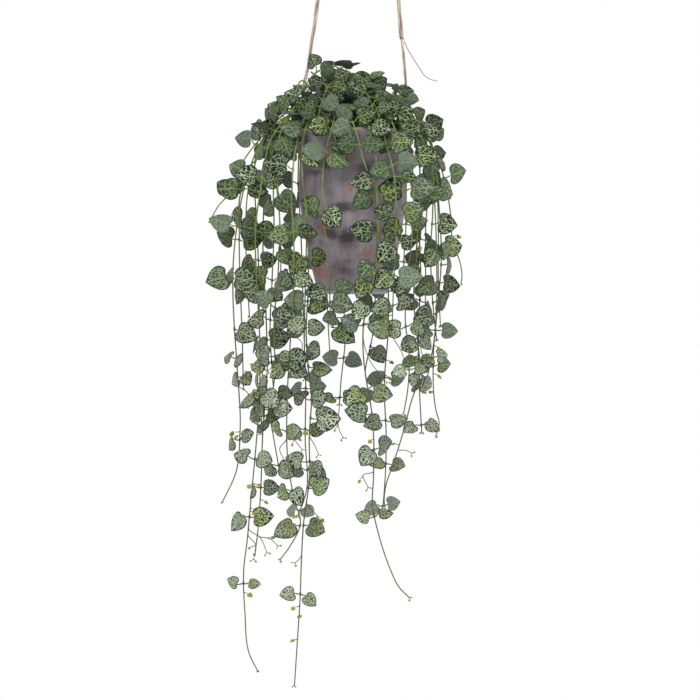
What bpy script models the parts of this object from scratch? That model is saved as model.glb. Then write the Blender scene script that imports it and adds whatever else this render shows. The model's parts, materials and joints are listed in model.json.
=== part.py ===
"""A ceropegia in a flared earthenware pot that hangs in a fibre sling.

Metres, +Z up. The origin is the inside of the sling's arch, where it hangs. The front is towards -Y.
Sizes are given in millimetres and multiplied by MM.
"""

import math
import random
from dataclasses import dataclass

import bmesh
import bpy
from mathutils import Matrix, Vector
from mathutils.bvhtree import BVHTree

MM = 0.001
GAP = 0.3

# Pot, millimetres: heights are above its foot, radii are from its axis
AXIS_X = -6.0
RIM_Z = -179.0
POT_HEIGHT = 162.8
POT_OUTER = ((0.0, 34.7), (34.0, 42.9), (68.0, 49.8), (98.0, 54.0), (118.0, 54.0), (134.0, 53.4),
             (141.0, 55.3), (150.0, 59.4), (161.0, 62.5), (POT_HEIGHT, 61.3))
POT_INNER = ((POT_HEIGHT, 57.5), (150.0, 53.4), (137.0, 47.6), (98.0, 48.0), (34.0, 36.9), (8.0, 30.5))
LIP_INNER = 57.3
LIP_OUTER = 62.7
LIP_DEPTH = 4.0
FLOOR_HEIGHT = 8.0
DRAIN_RADIUS = 7.0
POT_SIDES = 30

# Soil
SOIL_EDGE_HEIGHT = 127.0
SOIL_TOP = ((127.0, 47.35), (131.0, 33.0), (134.0, 16.0))
SOIL_CENTRE_HEIGHT = 135.0
HOLE_DEPTH = 12.0
HOLE_HALF_WIDTH = 1.25
ROOT_SPREAD = 39.0

# Sling
CORD_DIAMETER = 3.6
CORD_STEP = 2.1 * CORD_DIAMETER
BORE_HEIGHT = 136.8
BORE_RADIUS = 2.35
BORE_LENGTH = 16.0
BORE_SIDES = 8
KNOT_SEAT = 1.3
ARCH_RADIUS = 39.0
ARCH_CENTRE_Z = CORD_DIAMETER / 2 - ARCH_RADIUS
LEG_TURN_RADIUS = 7.4
LEFT_LEG = ((-54.9, -133.0), (-50.9, -115.0), (-46.4, -86.0), (-41.6, -52.0))
RIGHT_LEG = ((46.8, -135.0), (45.1, -108.0), (42.6, -85.5), (40.0, -52.0))
KNOT_PROFILE = ((0.0, 0.0), (0.0, 3.0), (1.4, 4.4), (3.2, 4.7), (4.6, 3.7), (6.0, 4.4), (7.8, 3.6),
                (9.0, 1.6), (9.2, 0.0))
KNOT_SIDES = 10
TIE_Z = -85.5
TIE_PROFILE = ((-2.6, 0.0), (-2.6, 0.9), (-1.2, 1.9), (1.2, 1.9), (2.6, 0.9), (2.6, 0.0))
STRAND_DIAMETER = 1.0
STRAND_STEP = 4.6
STRAND_ROUTE = ((45.3, -89.0), (49.0, -97.5), (54.1, -106.0), (61.1, -117.0), (66.1, -124.0), (72.1, -127.5),
                (78.6, -129.0))

# Stems and leaves
STEM_RADIUS_ROOT = 0.95
STEM_RADIUS_TIP = 0.75
NODE_HALF_HEIGHT = 0.6
STEM_SAG = 1.5
NOTCH_HALF_WIDTH = 0.5
BLADE_THICKNESS = 1.0
LEAF_CLEARANCE = 0.5
STEM_CLEARANCE = 3.6
STEM_TRIES = 60
LEAF_TRIES = 30
END_BUD = 3.4
DENSE_DROP = 225.0
FRONT_LEAN = 1.0
TURNED_LEAN = 2.6
SIDE_ON = 0.35
FREE_DROP = 140.0

# Half of a leaf's outline from its notch to its tip, as shares of its width, with the fall of its edge
LARGE_LEAF = ((0.24, -0.13, -0.03), (0.50, 0.12, -0.09), (0.41, 0.54, -0.08), (0.0, 0.90, -0.07))
SMALL_LEAF = ((0.32, -0.16, -0.04), (0.50, 0.30, -0.09), (0.0, 0.88, -0.05))
LARGE_LEAF_WIDTH = 23.0

GREENS = {"mid": (0.10, 0.19, 0.09), "light": (0.13, 0.23, 0.11), "dark": (0.08, 0.16, 0.08)}


@dataclass(frozen=True)
class Vine:
    """One rooted stem, in millimetres from the pot's axis.

    over is where it passes over the mouth: right, back and above the rim. hang are points further along it:
    right, back and below the rim. pairs are its leaf pairs further down: drop below the rim and leaf width.
    upper is the spacing of the pairs above those, and upper_width the width of their leaves. leafy is how
    many of nine places on its upper part carry a pair.
    """

    over: tuple
    hang: tuple
    pairs: tuple = ()
    upper: float = 27.0
    upper_width: float = 21.0
    leafy: int = 3


FRONT_VINES = (
    Vine((-13, -34, 24),
         ((-20, -62, -2), (-29, -69, 40), (-29, -67, 82), (-26, -64, 119), (-23, -60, 160),
          (-22, -56, 196)),
         ((46, 23), (83, 22), (119, 22), (158, 20)), leafy=7),
    Vine((-5, -44, 16),
         ((4, -66, 6), (12, -72, 36), (22, -70, 62), (26, -66, 96), (28, -62, 120)),
         ((37, 18), (68, 19), (104, 20)), leafy=7),
    Vine((14, -42, 20),
         ((25, -66, 14), (33, -75, 45), (36, -74, 75), (35, -72, 125), (33, -68, 170), (32, -64, 200)),
         ((58, 20), (88, 20), (116, 20), (146, 21), (176, 18)), leafy=7),
    Vine((28, -38, 22),
         ((42, -60, 4), (48, -66, 30), (52, -64, 62), (52, -62, 98), (50, -60, 132), (50, -58, 160)),
         ((26, 20), (62, 21), (96, 18), (132, 20)), leafy=7),
    Vine((4, -52, 12),
         ((15, -70, 20), (17, -76, 60), (18, -74, 100), (15, -68, 135), (9, -62, 165), (4, -58, 195),
          (4, -55, 224), (7, -52, 249), (12, -50, 278), (14, -49, 302), (14, -48, 344), (13, -47, 372),
          (19, -46, 400), (31, -44, 436), (38, -42, 451), (51, -40, 465)),
         ((152, 20), (195, 21), (260, 20), (318, 20), (383, 14)), leafy=7),
    Vine((-34, -36, 22),
         ((-48, -62, 8), (-50, -70, 40), (-46, -66, 82), (-44, -64, 122), (-44, -60, 160),
          (-46, -56, 200), (-44, -50, 236), (-41, -48, 265), (-43, -46, 302), (-43, -45, 345),
          (-49, -44, 393), (-51, -42, 430), (-52, -41, 460), (-55, -40, 508), (-58, -39, 553)),
         ((44, 22), (88, 21), (128, 21), (172, 22), (215, 20), (268, 19), (330, 17), (393, 20),
          (461, 14)), leafy=7),
)

LEFT_VINES = (
    Vine((-62, -20, 14),
         ((-88, -32, 8), (-104, -34, 45), (-114, -32, 90), (-119, -30, 140), (-118, -28, 190),
          (-115, -26, 235), (-112, -26, 300), (-116, -26, 340), (-130, -26, 371)),
         ((24, 16), (60, 20), (96, 22), (148, 22), (227, 14), (309, 15)), 27, 20),
    Vine((-60, -4, 20),
         ((-92, -12, 8), (-112, -16, 36), (-122, -16, 62), (-134, -18, 76), (-143, -18, 92)),
         ((30, 17), (62, 18), (88, 17)), 26, 19),
    Vine((-52, -32, 20),
         ((-80, -50, 10), (-90, -54, 55), (-96, -50, 100), (-95, -46, 150), (-92, -42, 210),
          (-93, -40, 277), (-96, -38, 315), (-101, -36, 368), (-105, -34, 410), (-108, -33, 434),
          (-107, -32, 479), (-102, -31, 522), (-94, -30, 538)),
         ((20, 20), (50, 21), (86, 22), (120, 20), (152, 21), (191, 20), (264, 21), (328, 18), (385, 19),
          (450, 12))),
    Vine((-56, 8, 22),
         ((-80, 6, 6), (-88, 4, 60), (-90, 2, 120), (-87, 0, 180), (-86, 0, 248), (-90, -2, 300),
          (-92, -4, 357), (-95, -4, 400), (-98, -4, 424)),
         ((40, 20), (80, 20), (122, 20), (162, 21), (215, 20), (285, 16), (357, 15))),
    Vine((-48, -24, 32),
         ((-72, -40, 10), (-78, -44, 50), (-78, -42, 100), (-80, -38, 150), (-82, -34, 200),
          (-80, -30, 240), (-78, -26, 270)),
         ((16, 22), (50, 21), (84, 21), (118, 22), (150, 20), (190, 21), (232, 20), (262, 17))),
    Vine((-44, -40, 20),
         ((-62, -60, 4), (-66, -64, 50), (-64, -62, 100), (-66, -58, 150), (-70, -52, 200),
          (-69, -46, 245), (-74, -42, 285), (-70, -38, 312), (-64, -36, 345)),
         ((30, 21), (66, 22), (104, 21), (140, 21), (178, 20), (226, 20), (278, 19), (340, 18))),
    Vine((-60, 22, 18),
         ((-86, 26, 6), (-104, 28, 50), (-108, 26, 100), (-106, 22, 150), (-104, 18, 186)),
         ((22, 18), (54, 20), (88, 21), (122, 20), (156, 18))),
    Vine((-38, -10, 44),
         ((-64, -20, 26), (-84, -24, 34), (-98, -22, 64), (-100, -18, 110), (-99, -12, 160),
          (-97, -10, 220), (-96, -10, 262)),
         ((44, 20), (76, 21), (110, 20), (146, 18), (196, 17), (246, 14))),
    Vine((-42, -48, 14),
         ((-54, -70, 20), (-58, -74, 70), (-56, -72, 120), (-57, -66, 170), (-60, -60, 215),
          (-63, -56, 270), (-62, -54, 330), (-56, -53, 366), (-50, -52, 390), (-60, -51, 412),
          (-71, -50, 427)),
         ((62, 20), (104, 20), (146, 19), (190, 20), (236, 18), (300, 16), (358, 17))),
)

RIGHT_VINES = (
    Vine((48, -22, 20),
         ((66, -34, 6), (76, -38, 30), (80, -36, 60), (82, -34, 95), (83, -32, 130), (83, -30, 170),
          (81, -28, 205), (76, -26, 236), (70, -26, 262)),
         ((4, 21), (33, 22), (62, 22), (94, 21), (122, 18), (150, 21), (184, 20), (228, 15)), 25, 20),
    Vine((52, -8, 16),
         ((74, -14, 2), (82, -16, 40), (86, -16, 80), (88, -14, 130), (84, -12, 180), (80, -12, 230),
          (83, -12, 280), (86, -12, 292), (82, -12, 306)),
         ((20, 19), (52, 20), (84, 21), (116, 20), (148, 21), (190, 20), (236, 15))),
    Vine((50, 6, 22),
         ((76, 6, 8), (92, 4, 50), (98, 2, 85), (100, 0, 112), (106, -2, 128), (109, -2, 143),
          (108, -2, 154)),
         ((20, 18), (48, 20), (78, 20), (106, 18))),
    Vine((44, -34, 16),
         ((62, -52, 10), (66, -58, 50), (64, -58, 92), (62, -54, 130), (60, -50, 170), (64, -44, 210),
          (66, -40, 245), (58, -38, 269), (51, -36, 296), (46, -34, 313), (38, -33, 337), (33, -32, 352),
          (31, -32, 368), (33, -32, 382)),
         ((38, 23), (66, 21), (102, 22), (142, 22), (176, 18), (208, 15), (250, 16))),
    Vine((38, -44, 12),
         ((52, -62, 22), (56, -68, 60), (54, -66, 110), (50, -60, 150), (48, -56, 190), (52, -50, 226),
          (50, -48, 262), (46, -46, 284)),
         ((48, 20), (82, 20), (120, 20), (158, 20), (196, 18), (238, 14))),
    Vine((54, 20, 14),
         ((76, 24, 8), (84, 26, 50), (86, 24, 100), (86, 20, 150), (88, 16, 196)),
         ((20, 20), (52, 20), (84, 20), (118, 20), (152, 19), (184, 17))),
    Vine((40, -12, 34),
         ((62, -22, 18), (72, -26, 40), (72, -26, 80), (70, -24, 120), (72, -22, 170), (76, -20, 210)),
         ((30, 19), (64, 20), (98, 19), (132, 20), (168, 18), (200, 15))),
)

CROWN_VINES = (
    Vine((-22, -8, 64),
         ((-36, -14, -58), (-50, -20, -40), (-62, -24, -20)),
         (), 19, 21, 4),
    Vine((-8, -8, 58),
         ((6, -16, -54), (20, -24, -42), (32, -34, -24)),
         (), 19, 21, 4),
    Vine((20, 8, 44),
         ((34, 10, -40), (48, 14, -28), (62, 16, -6)),
         (), 20, 19, 4),
    Vine((-30, 16, 46),
         ((-46, 22, -38), (-60, 26, -22), (-70, 30, 0)),
         (), 20, 20, 4),
    Vine((0, 24, 52),
         ((4, 42, -40), (8, 58, -20), (10, 68, 4)),
         (), 20, 21, 4),
    Vine((-20, -26, 46),
         ((-26, -44, -38), (-32, -58, -20), (-36, -66, 0)),
         (), 20, 21, 4),
    Vine((8, -28, 42),
         ((14, -44, -34), (20, -58, -16), (22, -66, 4)),
         (), 20, 20, 4),
    Vine((36, -16, 36),
         ((50, -26, -28), (60, -36, -12), (66, -42, 8)),
         (), 20, 19, 4),
)

BACK_COUNT = 12
BACK_FIRST_ANGLE = 22.0
BACK_LAST_ANGLE = 160.0


def back_vine(index: int) -> Vine:
    """One of the stems that hang behind the pot, by a rule with a seeded draw."""
    rng = random.Random(100 + index)
    share = index / (BACK_COUNT - 1)
    angle = math.radians(BACK_FIRST_ANGLE + (BACK_LAST_ANGLE - BACK_FIRST_ANGLE) * share + rng.uniform(-3, 3))
    reach = 70.0 + 20.0 * (index % 3) + rng.uniform(-3, 3)
    length = (150.0, 290.0, 210.0, 380.0, 250.0)[index % 5] + rng.uniform(-15, 15)

    def around(radius: float, drop: float, swing: float = 0.0) -> tuple:
        turned = angle + math.radians(swing)
        return radius * math.cos(turned), radius * math.sin(turned), drop

    right, back, _ = around(42.0, 0.0)
    hang = [around(reach - 6, 2), around(reach, 40)]
    drop = 90.0
    while drop < length:
        hang.append(around(reach - 0.03 * drop, drop, rng.uniform(-3, 3)))
        drop += 55.0
    hang.append(around(reach - 0.03 * length + 4, length, rng.uniform(-4, 4)))
    return Vine((right, back, 16.0 + 8.0 * (index % 3)), tuple(hang), (), 43.0, 21.0, 4)


def place(right: float, back: float, above: float) -> Vector:
    """A point in metres, from millimetres right of the pot's axis, behind it and above the rim."""
    return Vector(((AXIS_X + right) * MM, back * MM, (RIM_Z + above) * MM))


def radius_at(profile: tuple, height: float) -> float:
    """The radius of a turned profile at a height above the foot, in millimetres."""
    for (low, low_radius), (high, high_radius) in zip(profile, profile[1:]):
        if min(low, high) <= height <= max(low, high) and low != high:
            return low_radius + (high_radius - low_radius) * (height - low) / (high - low)
    return 0.0


def smooth_curve(points: list, start: Vector | None = None, step: float = MM) -> list:
    """Points about a step apart along one smooth curve through the given points.

    Args:
        points: The route's own points.
        start: The direction in which the curve sets out, where it isn't towards the second point.
        step: The distance between the points of the curve.

    Returns:
        The points of the curve, first and last included.
    """
    chords = [(b - a).length for a, b in zip(points, points[1:])]
    ways = [(b - a) / chord for a, b, chord in zip(points, points[1:], chords)]
    tangents = [start or ways[0]]
    for before, after, near, far in zip(ways, ways[1:], chords, chords[1:]):
        tangents.append((before * far + after * near) / (near + far))
    tangents.append(ways[-1])
    curve = []
    for i, chord in enumerate(chords):
        count = max(1, round(chord / step))
        for k in range(count):
            u = k / count
            rise, fall = u * u * (3 - 2 * u), u * u * (2 * u - 3) + 1
            curve.append(points[i] * fall + points[i + 1] * rise + tangents[i] * (chord * u * (1 - u) ** 2)
                         - tangents[i + 1] * (chord * u * u * (1 - u)))
    curve.append(points[-1])
    return curve


class Line:
    """A centre line with the length along it."""

    def __init__(self, points: list):
        self.points = points
        self.along = [0.0]
        for a, b in zip(points, points[1:]):
            self.along.append(self.along[-1] + (b - a).length)
        self.length = self.along[-1]

    def index(self, along: float) -> int:
        """The number of the last point before a length along the line."""
        low, high = 0, len(self.along) - 2
        while low < high:
            middle = (low + high + 1) // 2
            if self.along[middle] <= along:
                low = middle
            else:
                high = middle - 1
        return low

    def at(self, along: float) -> Vector:
        """The point at a length along the line."""
        i = self.index(along)
        share = (along - self.along[i]) / (self.along[i + 1] - self.along[i])
        return self.points[i].lerp(self.points[i + 1], min(max(share, 0.0), 1.0))

    def tangent(self, along: float, reach: float = 2 * MM) -> Vector:
        """The direction of the line at a length along it."""
        return (self.at(min(along + reach, self.length)) - self.at(max(along - reach, 0.0))).normalized()

    def drop(self, below_rim: float) -> float:
        """The length along the line at which it last passes a drop below the rim, in millimetres."""
        level = (RIM_Z - below_rim) * MM
        for i in range(len(self.points) - 2, -1, -1):
            if self.points[i].z >= level:
                return self.along[i]
        return 0.0


def soil_height(radius: float) -> float:
    """The height of the soil's top above the pot's foot, in millimetres."""
    top = tuple((r, h) for h, r in reversed(SOIL_TOP))
    if radius <= top[0][0]:
        return SOIL_CENTRE_HEIGHT + (top[0][1] - SOIL_CENTRE_HEIGHT) * radius / top[0][0]
    for (inner, high), (outer, low) in zip(top, top[1:]):
        if radius <= outer:
            return high + (low - high) * (radius - inner) / (outer - inner)
    return SOIL_EDGE_HEIGHT


def sling_route() -> list:
    """The sling's own points from the left bore to the right one, in metres."""
    bore_z = RIM_Z - POT_HEIGHT + BORE_HEIGHT
    wall = radius_at(POT_OUTER, BORE_HEIGHT) + KNOT_SEAT - GAP
    inside = radius_at(POT_INNER, BORE_HEIGHT) - 0.6
    turn_z = bore_z + LEG_TURN_RADIUS
    route = [(AXIS_X - wall, bore_z), (AXIS_X - (wall + inside) / 2, bore_z)]
    for step in range(5):
        angle = math.radians(-90 + 24.5 * step)
        route.append((AXIS_X - inside + LEG_TURN_RADIUS * math.cos(angle),
                      turn_z + LEG_TURN_RADIUS * math.sin(angle)))
    route += LEFT_LEG
    for step in range(9):
        angle = math.radians(172 - 20.5 * step)
        route.append((ARCH_RADIUS * math.cos(angle), ARCH_CENTRE_Z + ARCH_RADIUS * math.sin(angle)))
    route += reversed(RIGHT_LEG)
    for step in range(4, -1, -1):
        angle = math.radians(-90 - 24.0 * step)
        route.append((AXIS_X + inside + LEG_TURN_RADIUS * math.cos(angle),
                      turn_z + LEG_TURN_RADIUS * math.sin(angle)))
    route += [(AXIS_X + (wall + inside) / 2, bore_z), (AXIS_X + wall, bore_z)]
    return [Vector((x * MM, 0.0, z * MM)) for x, z in route]


def root_sites(count: int) -> list:
    """Places of the roots on the soil, evenly spread, right of and behind the pot's axis in millimetres."""
    turn = math.pi * (3 - math.sqrt(5))
    radii = [ROOT_SPREAD * math.sqrt((i + 0.5) / count) for i in range(count)]
    return [(radius * math.cos(i * turn), radius * math.sin(i * turn)) for i, radius in enumerate(radii)]


def stem_route(vine: Vine, site: tuple, shift: tuple) -> list:
    """A stem's centre line from the bottom of its hole to its tip.

    Args:
        vine: The stem's own points.
        site: Where it is rooted.
        shift: How far its points over and beyond the mouth are moved, right, back and up.

    Returns:
        Points about a millimetre apart, in metres.
    """
    surface = soil_height(math.hypot(*site)) - POT_HEIGHT
    root = [place(*site, surface - HOLE_DEPTH + step) for step in range(int(HOLE_DEPTH) + 1)]
    points = [place(*site, surface + 1.5), place(vine.over[0] + shift[0], vine.over[1] + shift[1],
                                                 vine.over[2] + shift[2])]
    for right, back, drop in vine.hang:
        points.append(place(right + shift[0], back + shift[1], shift[2] / 2 - drop))
    return root + smooth_curve(points, Vector((0, 0, 1)))


def clears_pot(point: Vector, room: float) -> bool:
    """Whether a point keeps some room, in millimetres, to the pot's wall and the soil."""
    height = point.z / MM - RIM_Z + POT_HEIGHT
    radius = math.hypot(point.x / MM - AXIS_X, point.y / MM)
    if height > POT_HEIGHT + room or height < -room:
        return True
    if height > POT_HEIGHT - LIP_DEPTH:
        return radius < LIP_INNER - room or radius > LIP_OUTER + room
    if radius > radius_at(POT_OUTER, max(height, 0.0)) + room:
        return True
    inside = radius < radius_at(POT_INNER, max(height, FLOOR_HEIGHT)) - room
    return inside and height > soil_height(radius) + room


def settle_stems(vines: list, sling: list) -> list:
    """The stems' centre lines, each moved a little where it is tight to the pot, the sling or another."""
    free = root_sites(len(vines))
    taken = [(point, CORD_DIAMETER / 2 + STEM_RADIUS_ROOT + 1.0) for point in sling]
    lines = []
    for number, vine in enumerate(vines):
        rng = random.Random(number)
        wish = (vine.over[0] * 0.75, vine.over[1] * 0.75)
        site = min(free, key=lambda place_on_soil: math.dist(place_on_soil, wish))
        free.remove(site)
        best, best_faults = None, 10 ** 9
        for attempt in range(STEM_TRIES):
            reach = 0.35 * attempt
            shift = (rng.uniform(-reach, reach), rng.uniform(-reach, reach), rng.uniform(-reach, reach) * 0.5)
            route = stem_route(vine, site, shift)
            faults = stem_faults(route, taken)
            if faults < best_faults:
                best, best_faults = route, faults
            if not faults:
                break
        if best_faults:
            print("stem", number + 1, "still has", best_faults, "tight places")
        lines.append(Line(best))
        taken += [(point, STEM_CLEARANCE) for point in best]
    return lines


def stem_faults(route: list, taken: list) -> int:
    """How many places of a stem's route lie too close to the pot or to what already stands there."""
    start = int(HOLE_DEPTH) + 4
    faults = sum(not clears_pot(point, 2.2) for point in route[start:])
    if faults > 3:
        return faults
    low = [min(p[axis] for p in route) - 4 * MM for axis in range(3)]
    high = [max(p[axis] for p in route) + 4 * MM for axis in range(3)]
    near = [(p, room * MM) for p, room in taken
            if low[0] < p.x < high[0] and low[1] < p.y < high[1] and low[2] < p.z < high[2]]
    for point in route[start::2]:
        for other, room in near:
            if abs(point.z - other.z) < room and (point - other).length < room:
                faults += 1
                break
    return faults


@dataclass
class Leaf:
    """One leaf where it hangs, in metres: its petiole's root, and its blade's place, frame and width."""

    root: Vector
    base: Vector
    axis: Vector
    across: Vector
    normal: Vector
    width: float

    def outline(self) -> list:
        """Half of its outline from the notch to the tip, as shares of its width."""
        return LARGE_LEAF if self.width >= LARGE_LEAF_WIDTH * MM else SMALL_LEAF

    def faces(self, thickness: float, grow: float = 0.0) -> tuple:
        """Its upper and lower outlines in metres, from one side of the notch round the tip to the other.

        Args:
            thickness: The blade's thickness.
            grow: How far the outline is moved outwards.

        Returns:
            The points of the upper and of the lower face.
        """
        half = self.outline()
        right = [(NOTCH_HALF_WIDTH * MM / self.width, 0.0, 0.0), *half]
        shares = [(-x, y, fall) for x, y, fall in right] + right[-2::-1]
        middle = 0.42
        scale = 1 + 2 * grow / self.width
        upper, lower = [], []
        for x, y, fall in shares:
            ahead = middle + (y - middle) * scale
            shape = self.across * (x * scale) + self.axis * ahead + self.normal * fall
            point = self.base + shape * self.width
            upper.append(point + self.normal * (thickness / 2))
            lower.append(point - self.normal * (thickness / 2))
        return upper, lower


def blade_triangles(count: int) -> list:
    """How an outline of count points is split into triangles, with an edge from the notch to the tip."""
    tip = count // 2
    left = [(0, i, i + 1) for i in range(1, tip)]
    right = [(count - 1, i, i + 1) for i in range(tip, count - 2)]
    return [*left, *right, (0, tip, count - 1)]


def leaf_body(leaf: Leaf) -> BVHTree:
    """The room that a leaf takes, its petiole beyond the stem included."""
    upper, lower = leaf.faces((BLADE_THICKNESS + 2 * LEAF_CLEARANCE) * MM, LEAF_CLEARANCE * MM)
    count = len(upper)
    points = upper + lower
    triangles = blade_triangles(count)
    triangles += [(a + count, b + count, c + count) for a, b, c in triangles]
    for i in range(count):
        k = (i + 1) % count
        triangles += [(i, k, k + count), (i, k + count, i + count)]
    way = leaf.base - leaf.root
    start = leaf.root + way * min(0.8, 2.3 * MM / way.length)
    side = way.cross(leaf.normal)
    side = (side if side.length > 1e-9 else way.orthogonal()).normalized() * (1.0 * MM)
    rise = way.cross(side).normalized() * (1.0 * MM)
    first = len(points)
    for centre in (start, leaf.base):
        points += [centre + side, centre - side * 0.5 + rise * 0.87, centre - side * 0.5 - rise * 0.87]
    for i in range(3):
        k = (i + 1) % 3
        triangles += [(first + i, first + k, first + 3 + k), (first + i, first + 3 + k, first + 3 + i)]
    return BVHTree.FromPolygons(points, triangles, all_triangles=True)


def tube_triangles(points: list, radius: float, sides: int, step: int) -> tuple:
    """A plain tube round a centre line, as points and triangles."""
    picked = points[::step] if (len(points) - 1) % step == 0 else [*points[::step], points[-1]]
    vertices, triangles = [], []
    for i, point in enumerate(picked):
        way = (picked[min(i + 1, len(picked) - 1)] - picked[max(i - 1, 0)]).normalized()
        side = way.orthogonal().normalized() * radius
        for k in range(sides):
            vertices.append(point + Matrix.Rotation(2 * math.pi * k / sides, 3, way) @ side)
    for i in range(len(picked) - 1):
        for k in range(sides):
            a, b = i * sides + k, i * sides + (k + 1) % sides
            triangles += [(a, b, b + sides), (a, b + sides, a + sides)]
    return vertices, triangles


def standing_bodies(lines: list, sling: list) -> BVHTree:
    """The room that the stems and the sling take, and the pot's wall."""
    vertices, triangles = [], []
    tubes = [(line.points, (STEM_RADIUS_ROOT + 0.6) * MM, 4, 5) for line in lines]
    tubes += [(sling, (CORD_DIAMETER / 2 + 0.9) * MM, 6, 4)]
    for points, radius, sides, step in tubes:
        tube_points, tube_faces = tube_triangles(points, radius, sides, step)
        triangles += [tuple(i + len(vertices) for i in face) for face in tube_faces]
        vertices += tube_points
    profile = [*POT_OUTER, *POT_INNER]
    first = len(vertices)
    for height, radius in profile:
        for k in range(POT_SIDES):
            angle = 2 * math.pi * k / POT_SIDES
            vertices.append(place(radius * math.cos(angle), radius * math.sin(angle), height - POT_HEIGHT))
    for i in range(len(profile) - 1):
        for k in range(POT_SIDES):
            a, b = first + i * POT_SIDES + k, first + i * POT_SIDES + (k + 1) % POT_SIDES
            triangles += [(a, b, b + POT_SIDES), (a, b + POT_SIDES, a + POT_SIDES)]
    return BVHTree.FromPolygons(vertices, triangles, all_triangles=True)


def outward(point: Vector) -> Vector:
    """The direction out of the plant at a point: level beside the pot and turning upwards over its mouth."""
    centre = Vector((AXIS_X * MM, 0.0, min(point.z, (RIM_Z - 10) * MM)))
    return (point - centre).normalized()


@dataclass
class Node:
    """Where a pair of leaves grows: its place along the stem, the way that they face, and the leaves."""

    along: float
    facing: Vector
    forward: Vector
    leaves: list


def facing(point: Vector, turned: bool) -> Vector:
    """The way that a pair of leaves at a point faces: outward, and more or less to the front."""
    out = outward(point)
    lean = FRONT_LEAN
    if out.y > SIDE_ON:
        lean = TURNED_LEAN if turned and point.z < (RIM_Z - FREE_DROP) * MM else 0.0
    return (out - Vector((0, lean, 0))).normalized()


def try_leaf(rng: random.Random, line: Line, node: Node, side: int, width: float, attempt: int) -> Leaf:
    """One way in which a leaf may hang from its node.

    Args:
        rng: The draw for this leaf.
        line: The stem's centre line.
        node: The node that the leaf grows from.
        side: 1 or -1, the side of the stem.
        width: The leaf's width in metres.
        attempt: How many ways were tried before, which widens the draw.

    Returns:
        The leaf, placed.
    """
    centre, along = line.at(node.along), line.tangent(node.along)
    beside = along.cross(node.forward).normalized() * side
    facet = (node.forward * 0.5 + beside * 0.866).normalized()
    spread = 1.0 + attempt * 0.06
    way = (facet + along * rng.uniform(-0.45, 0.25) * spread).normalized()
    base = centre + way * (rng.uniform(5.5, 8.5) * MM)
    out = node.facing
    down = Vector((0, 0, -1)) - out * -out.z + along * 0.25
    down = (down - out * down.dot(out)).normalized()
    sideways = (beside - down * beside.dot(down)).normalized()
    swing = math.radians(22 + rng.uniform(-42, 42) * spread)
    axis = sideways * math.cos(swing) + down * math.sin(swing)
    pitch = math.radians(rng.uniform(-22, 10) * spread)
    normal = (out - axis * out.dot(axis)).normalized()
    axis, normal = (axis * math.cos(pitch) + normal * math.sin(pitch),
                    normal * math.cos(pitch) - axis * math.sin(pitch))
    tilt = Matrix.Rotation(math.radians(rng.gauss(0, 19) * spread), 3, axis)
    normal = tilt @ normal
    return Leaf(centre, base, axis, axis.cross(normal), normal, width * (1 - 0.008 * attempt))


def leaf_fits(leaf: Leaf, body: BVHTree, standing: BVHTree, placed: list) -> bool:
    """Whether a leaf stays clear of the pot, the stems, the sling and the leaves that hang already."""
    way = (leaf.base - leaf.root).normalized()
    ahead, beside, raised = way.dot(leaf.axis), way.dot(leaf.across), way.dot(leaf.normal)
    if ahead < 0.25 or abs(beside) > 0.95 * ahead + 0.4 * abs(raised):
        return False
    upper, lower = leaf.faces(BLADE_THICKNESS * MM)
    centre = leaf.base + leaf.axis * (leaf.width * 0.42)
    if not all(clears_pot(point, 1.2) for point in [*upper, *lower, centre]):
        return False
    if body.overlap(standing):
        return False
    for other_centre, other_width, other_body in placed:
        near = (leaf.width + other_width) * 0.6 + 9 * MM
        if (centre - other_centre).length < near and body.overlap(other_body):
            return False
    return True


def vine_nodes(vine: Vine, line: Line) -> list:
    """The places of a vine's leaf pairs along its stem, with their leaves' width in millimetres."""
    lower = [(line.drop(drop), width) for drop, width in vine.pairs]
    end = lower[0][0] - 0.7 * vine.upper * MM if lower else line.length - 9 * MM
    first = (HOLE_DEPTH + 22) * MM
    count = max(1, round((end - first) / (vine.upper * MM)) + 1)
    upper = []
    for i in range(count):
        along = first + (end - first) * i / max(1, count - 1)
        upper.append((along, vine.upper_width * (1.0 - 0.3 * i / count if not lower else 1.0)))
    spots = []
    for along, width in [*upper, *lower]:
        along = min(along, line.length - 9 * MM)
        if not spots or along > spots[-1][0] + 9 * MM:
            spots.append((along, width))
    return spots


def is_bare(vine: Vine, turn: int, height: float) -> bool:
    """Whether a place on the dense upper part of a stem carries no pair of leaves."""
    return 5 * turn % 9 >= vine.leafy and height > (RIM_Z - DENSE_DROP) * MM


def hang_leaves(vines: list, lines: list, sling: list) -> list:
    """For each vine its nodes with the leaves that found room."""
    standing = standing_bodies(lines, sling)
    placed, result = [], []
    for number, (vine, line) in enumerate(zip(vines, lines)):
        nodes = []
        for order, (along, width) in enumerate(vine_nodes(vine, line)):
            if is_bare(vine, number + order, line.at(along).z):
                continue
            rng = random.Random(1000 * number + order)
            turned = (number + 2 * order) % 3 < 2
            tangent, out = line.tangent(along), facing(line.at(along), turned)
            forward = (out - tangent * out.dot(tangent)).normalized()
            forward = Matrix.Rotation(math.radians(rng.uniform(-30, 30)), 3, tangent) @ forward
            node = Node(along, out, forward, [None, None])
            for slot, side in enumerate((1, -1)):
                size = width * rng.uniform(0.97, 1.13) * MM
                for attempt in range(LEAF_TRIES):
                    leaf = try_leaf(rng, line, node, side, size, attempt)
                    body = leaf_body(leaf)
                    if leaf_fits(leaf, body, standing, placed):
                        node.leaves[slot] = leaf
                        placed.append((leaf.base + leaf.axis * (leaf.width * 0.42), leaf.width, body))
                        break
            if any(node.leaves):
                nodes.append(node)
        result.append(nodes)
    return result


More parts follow.
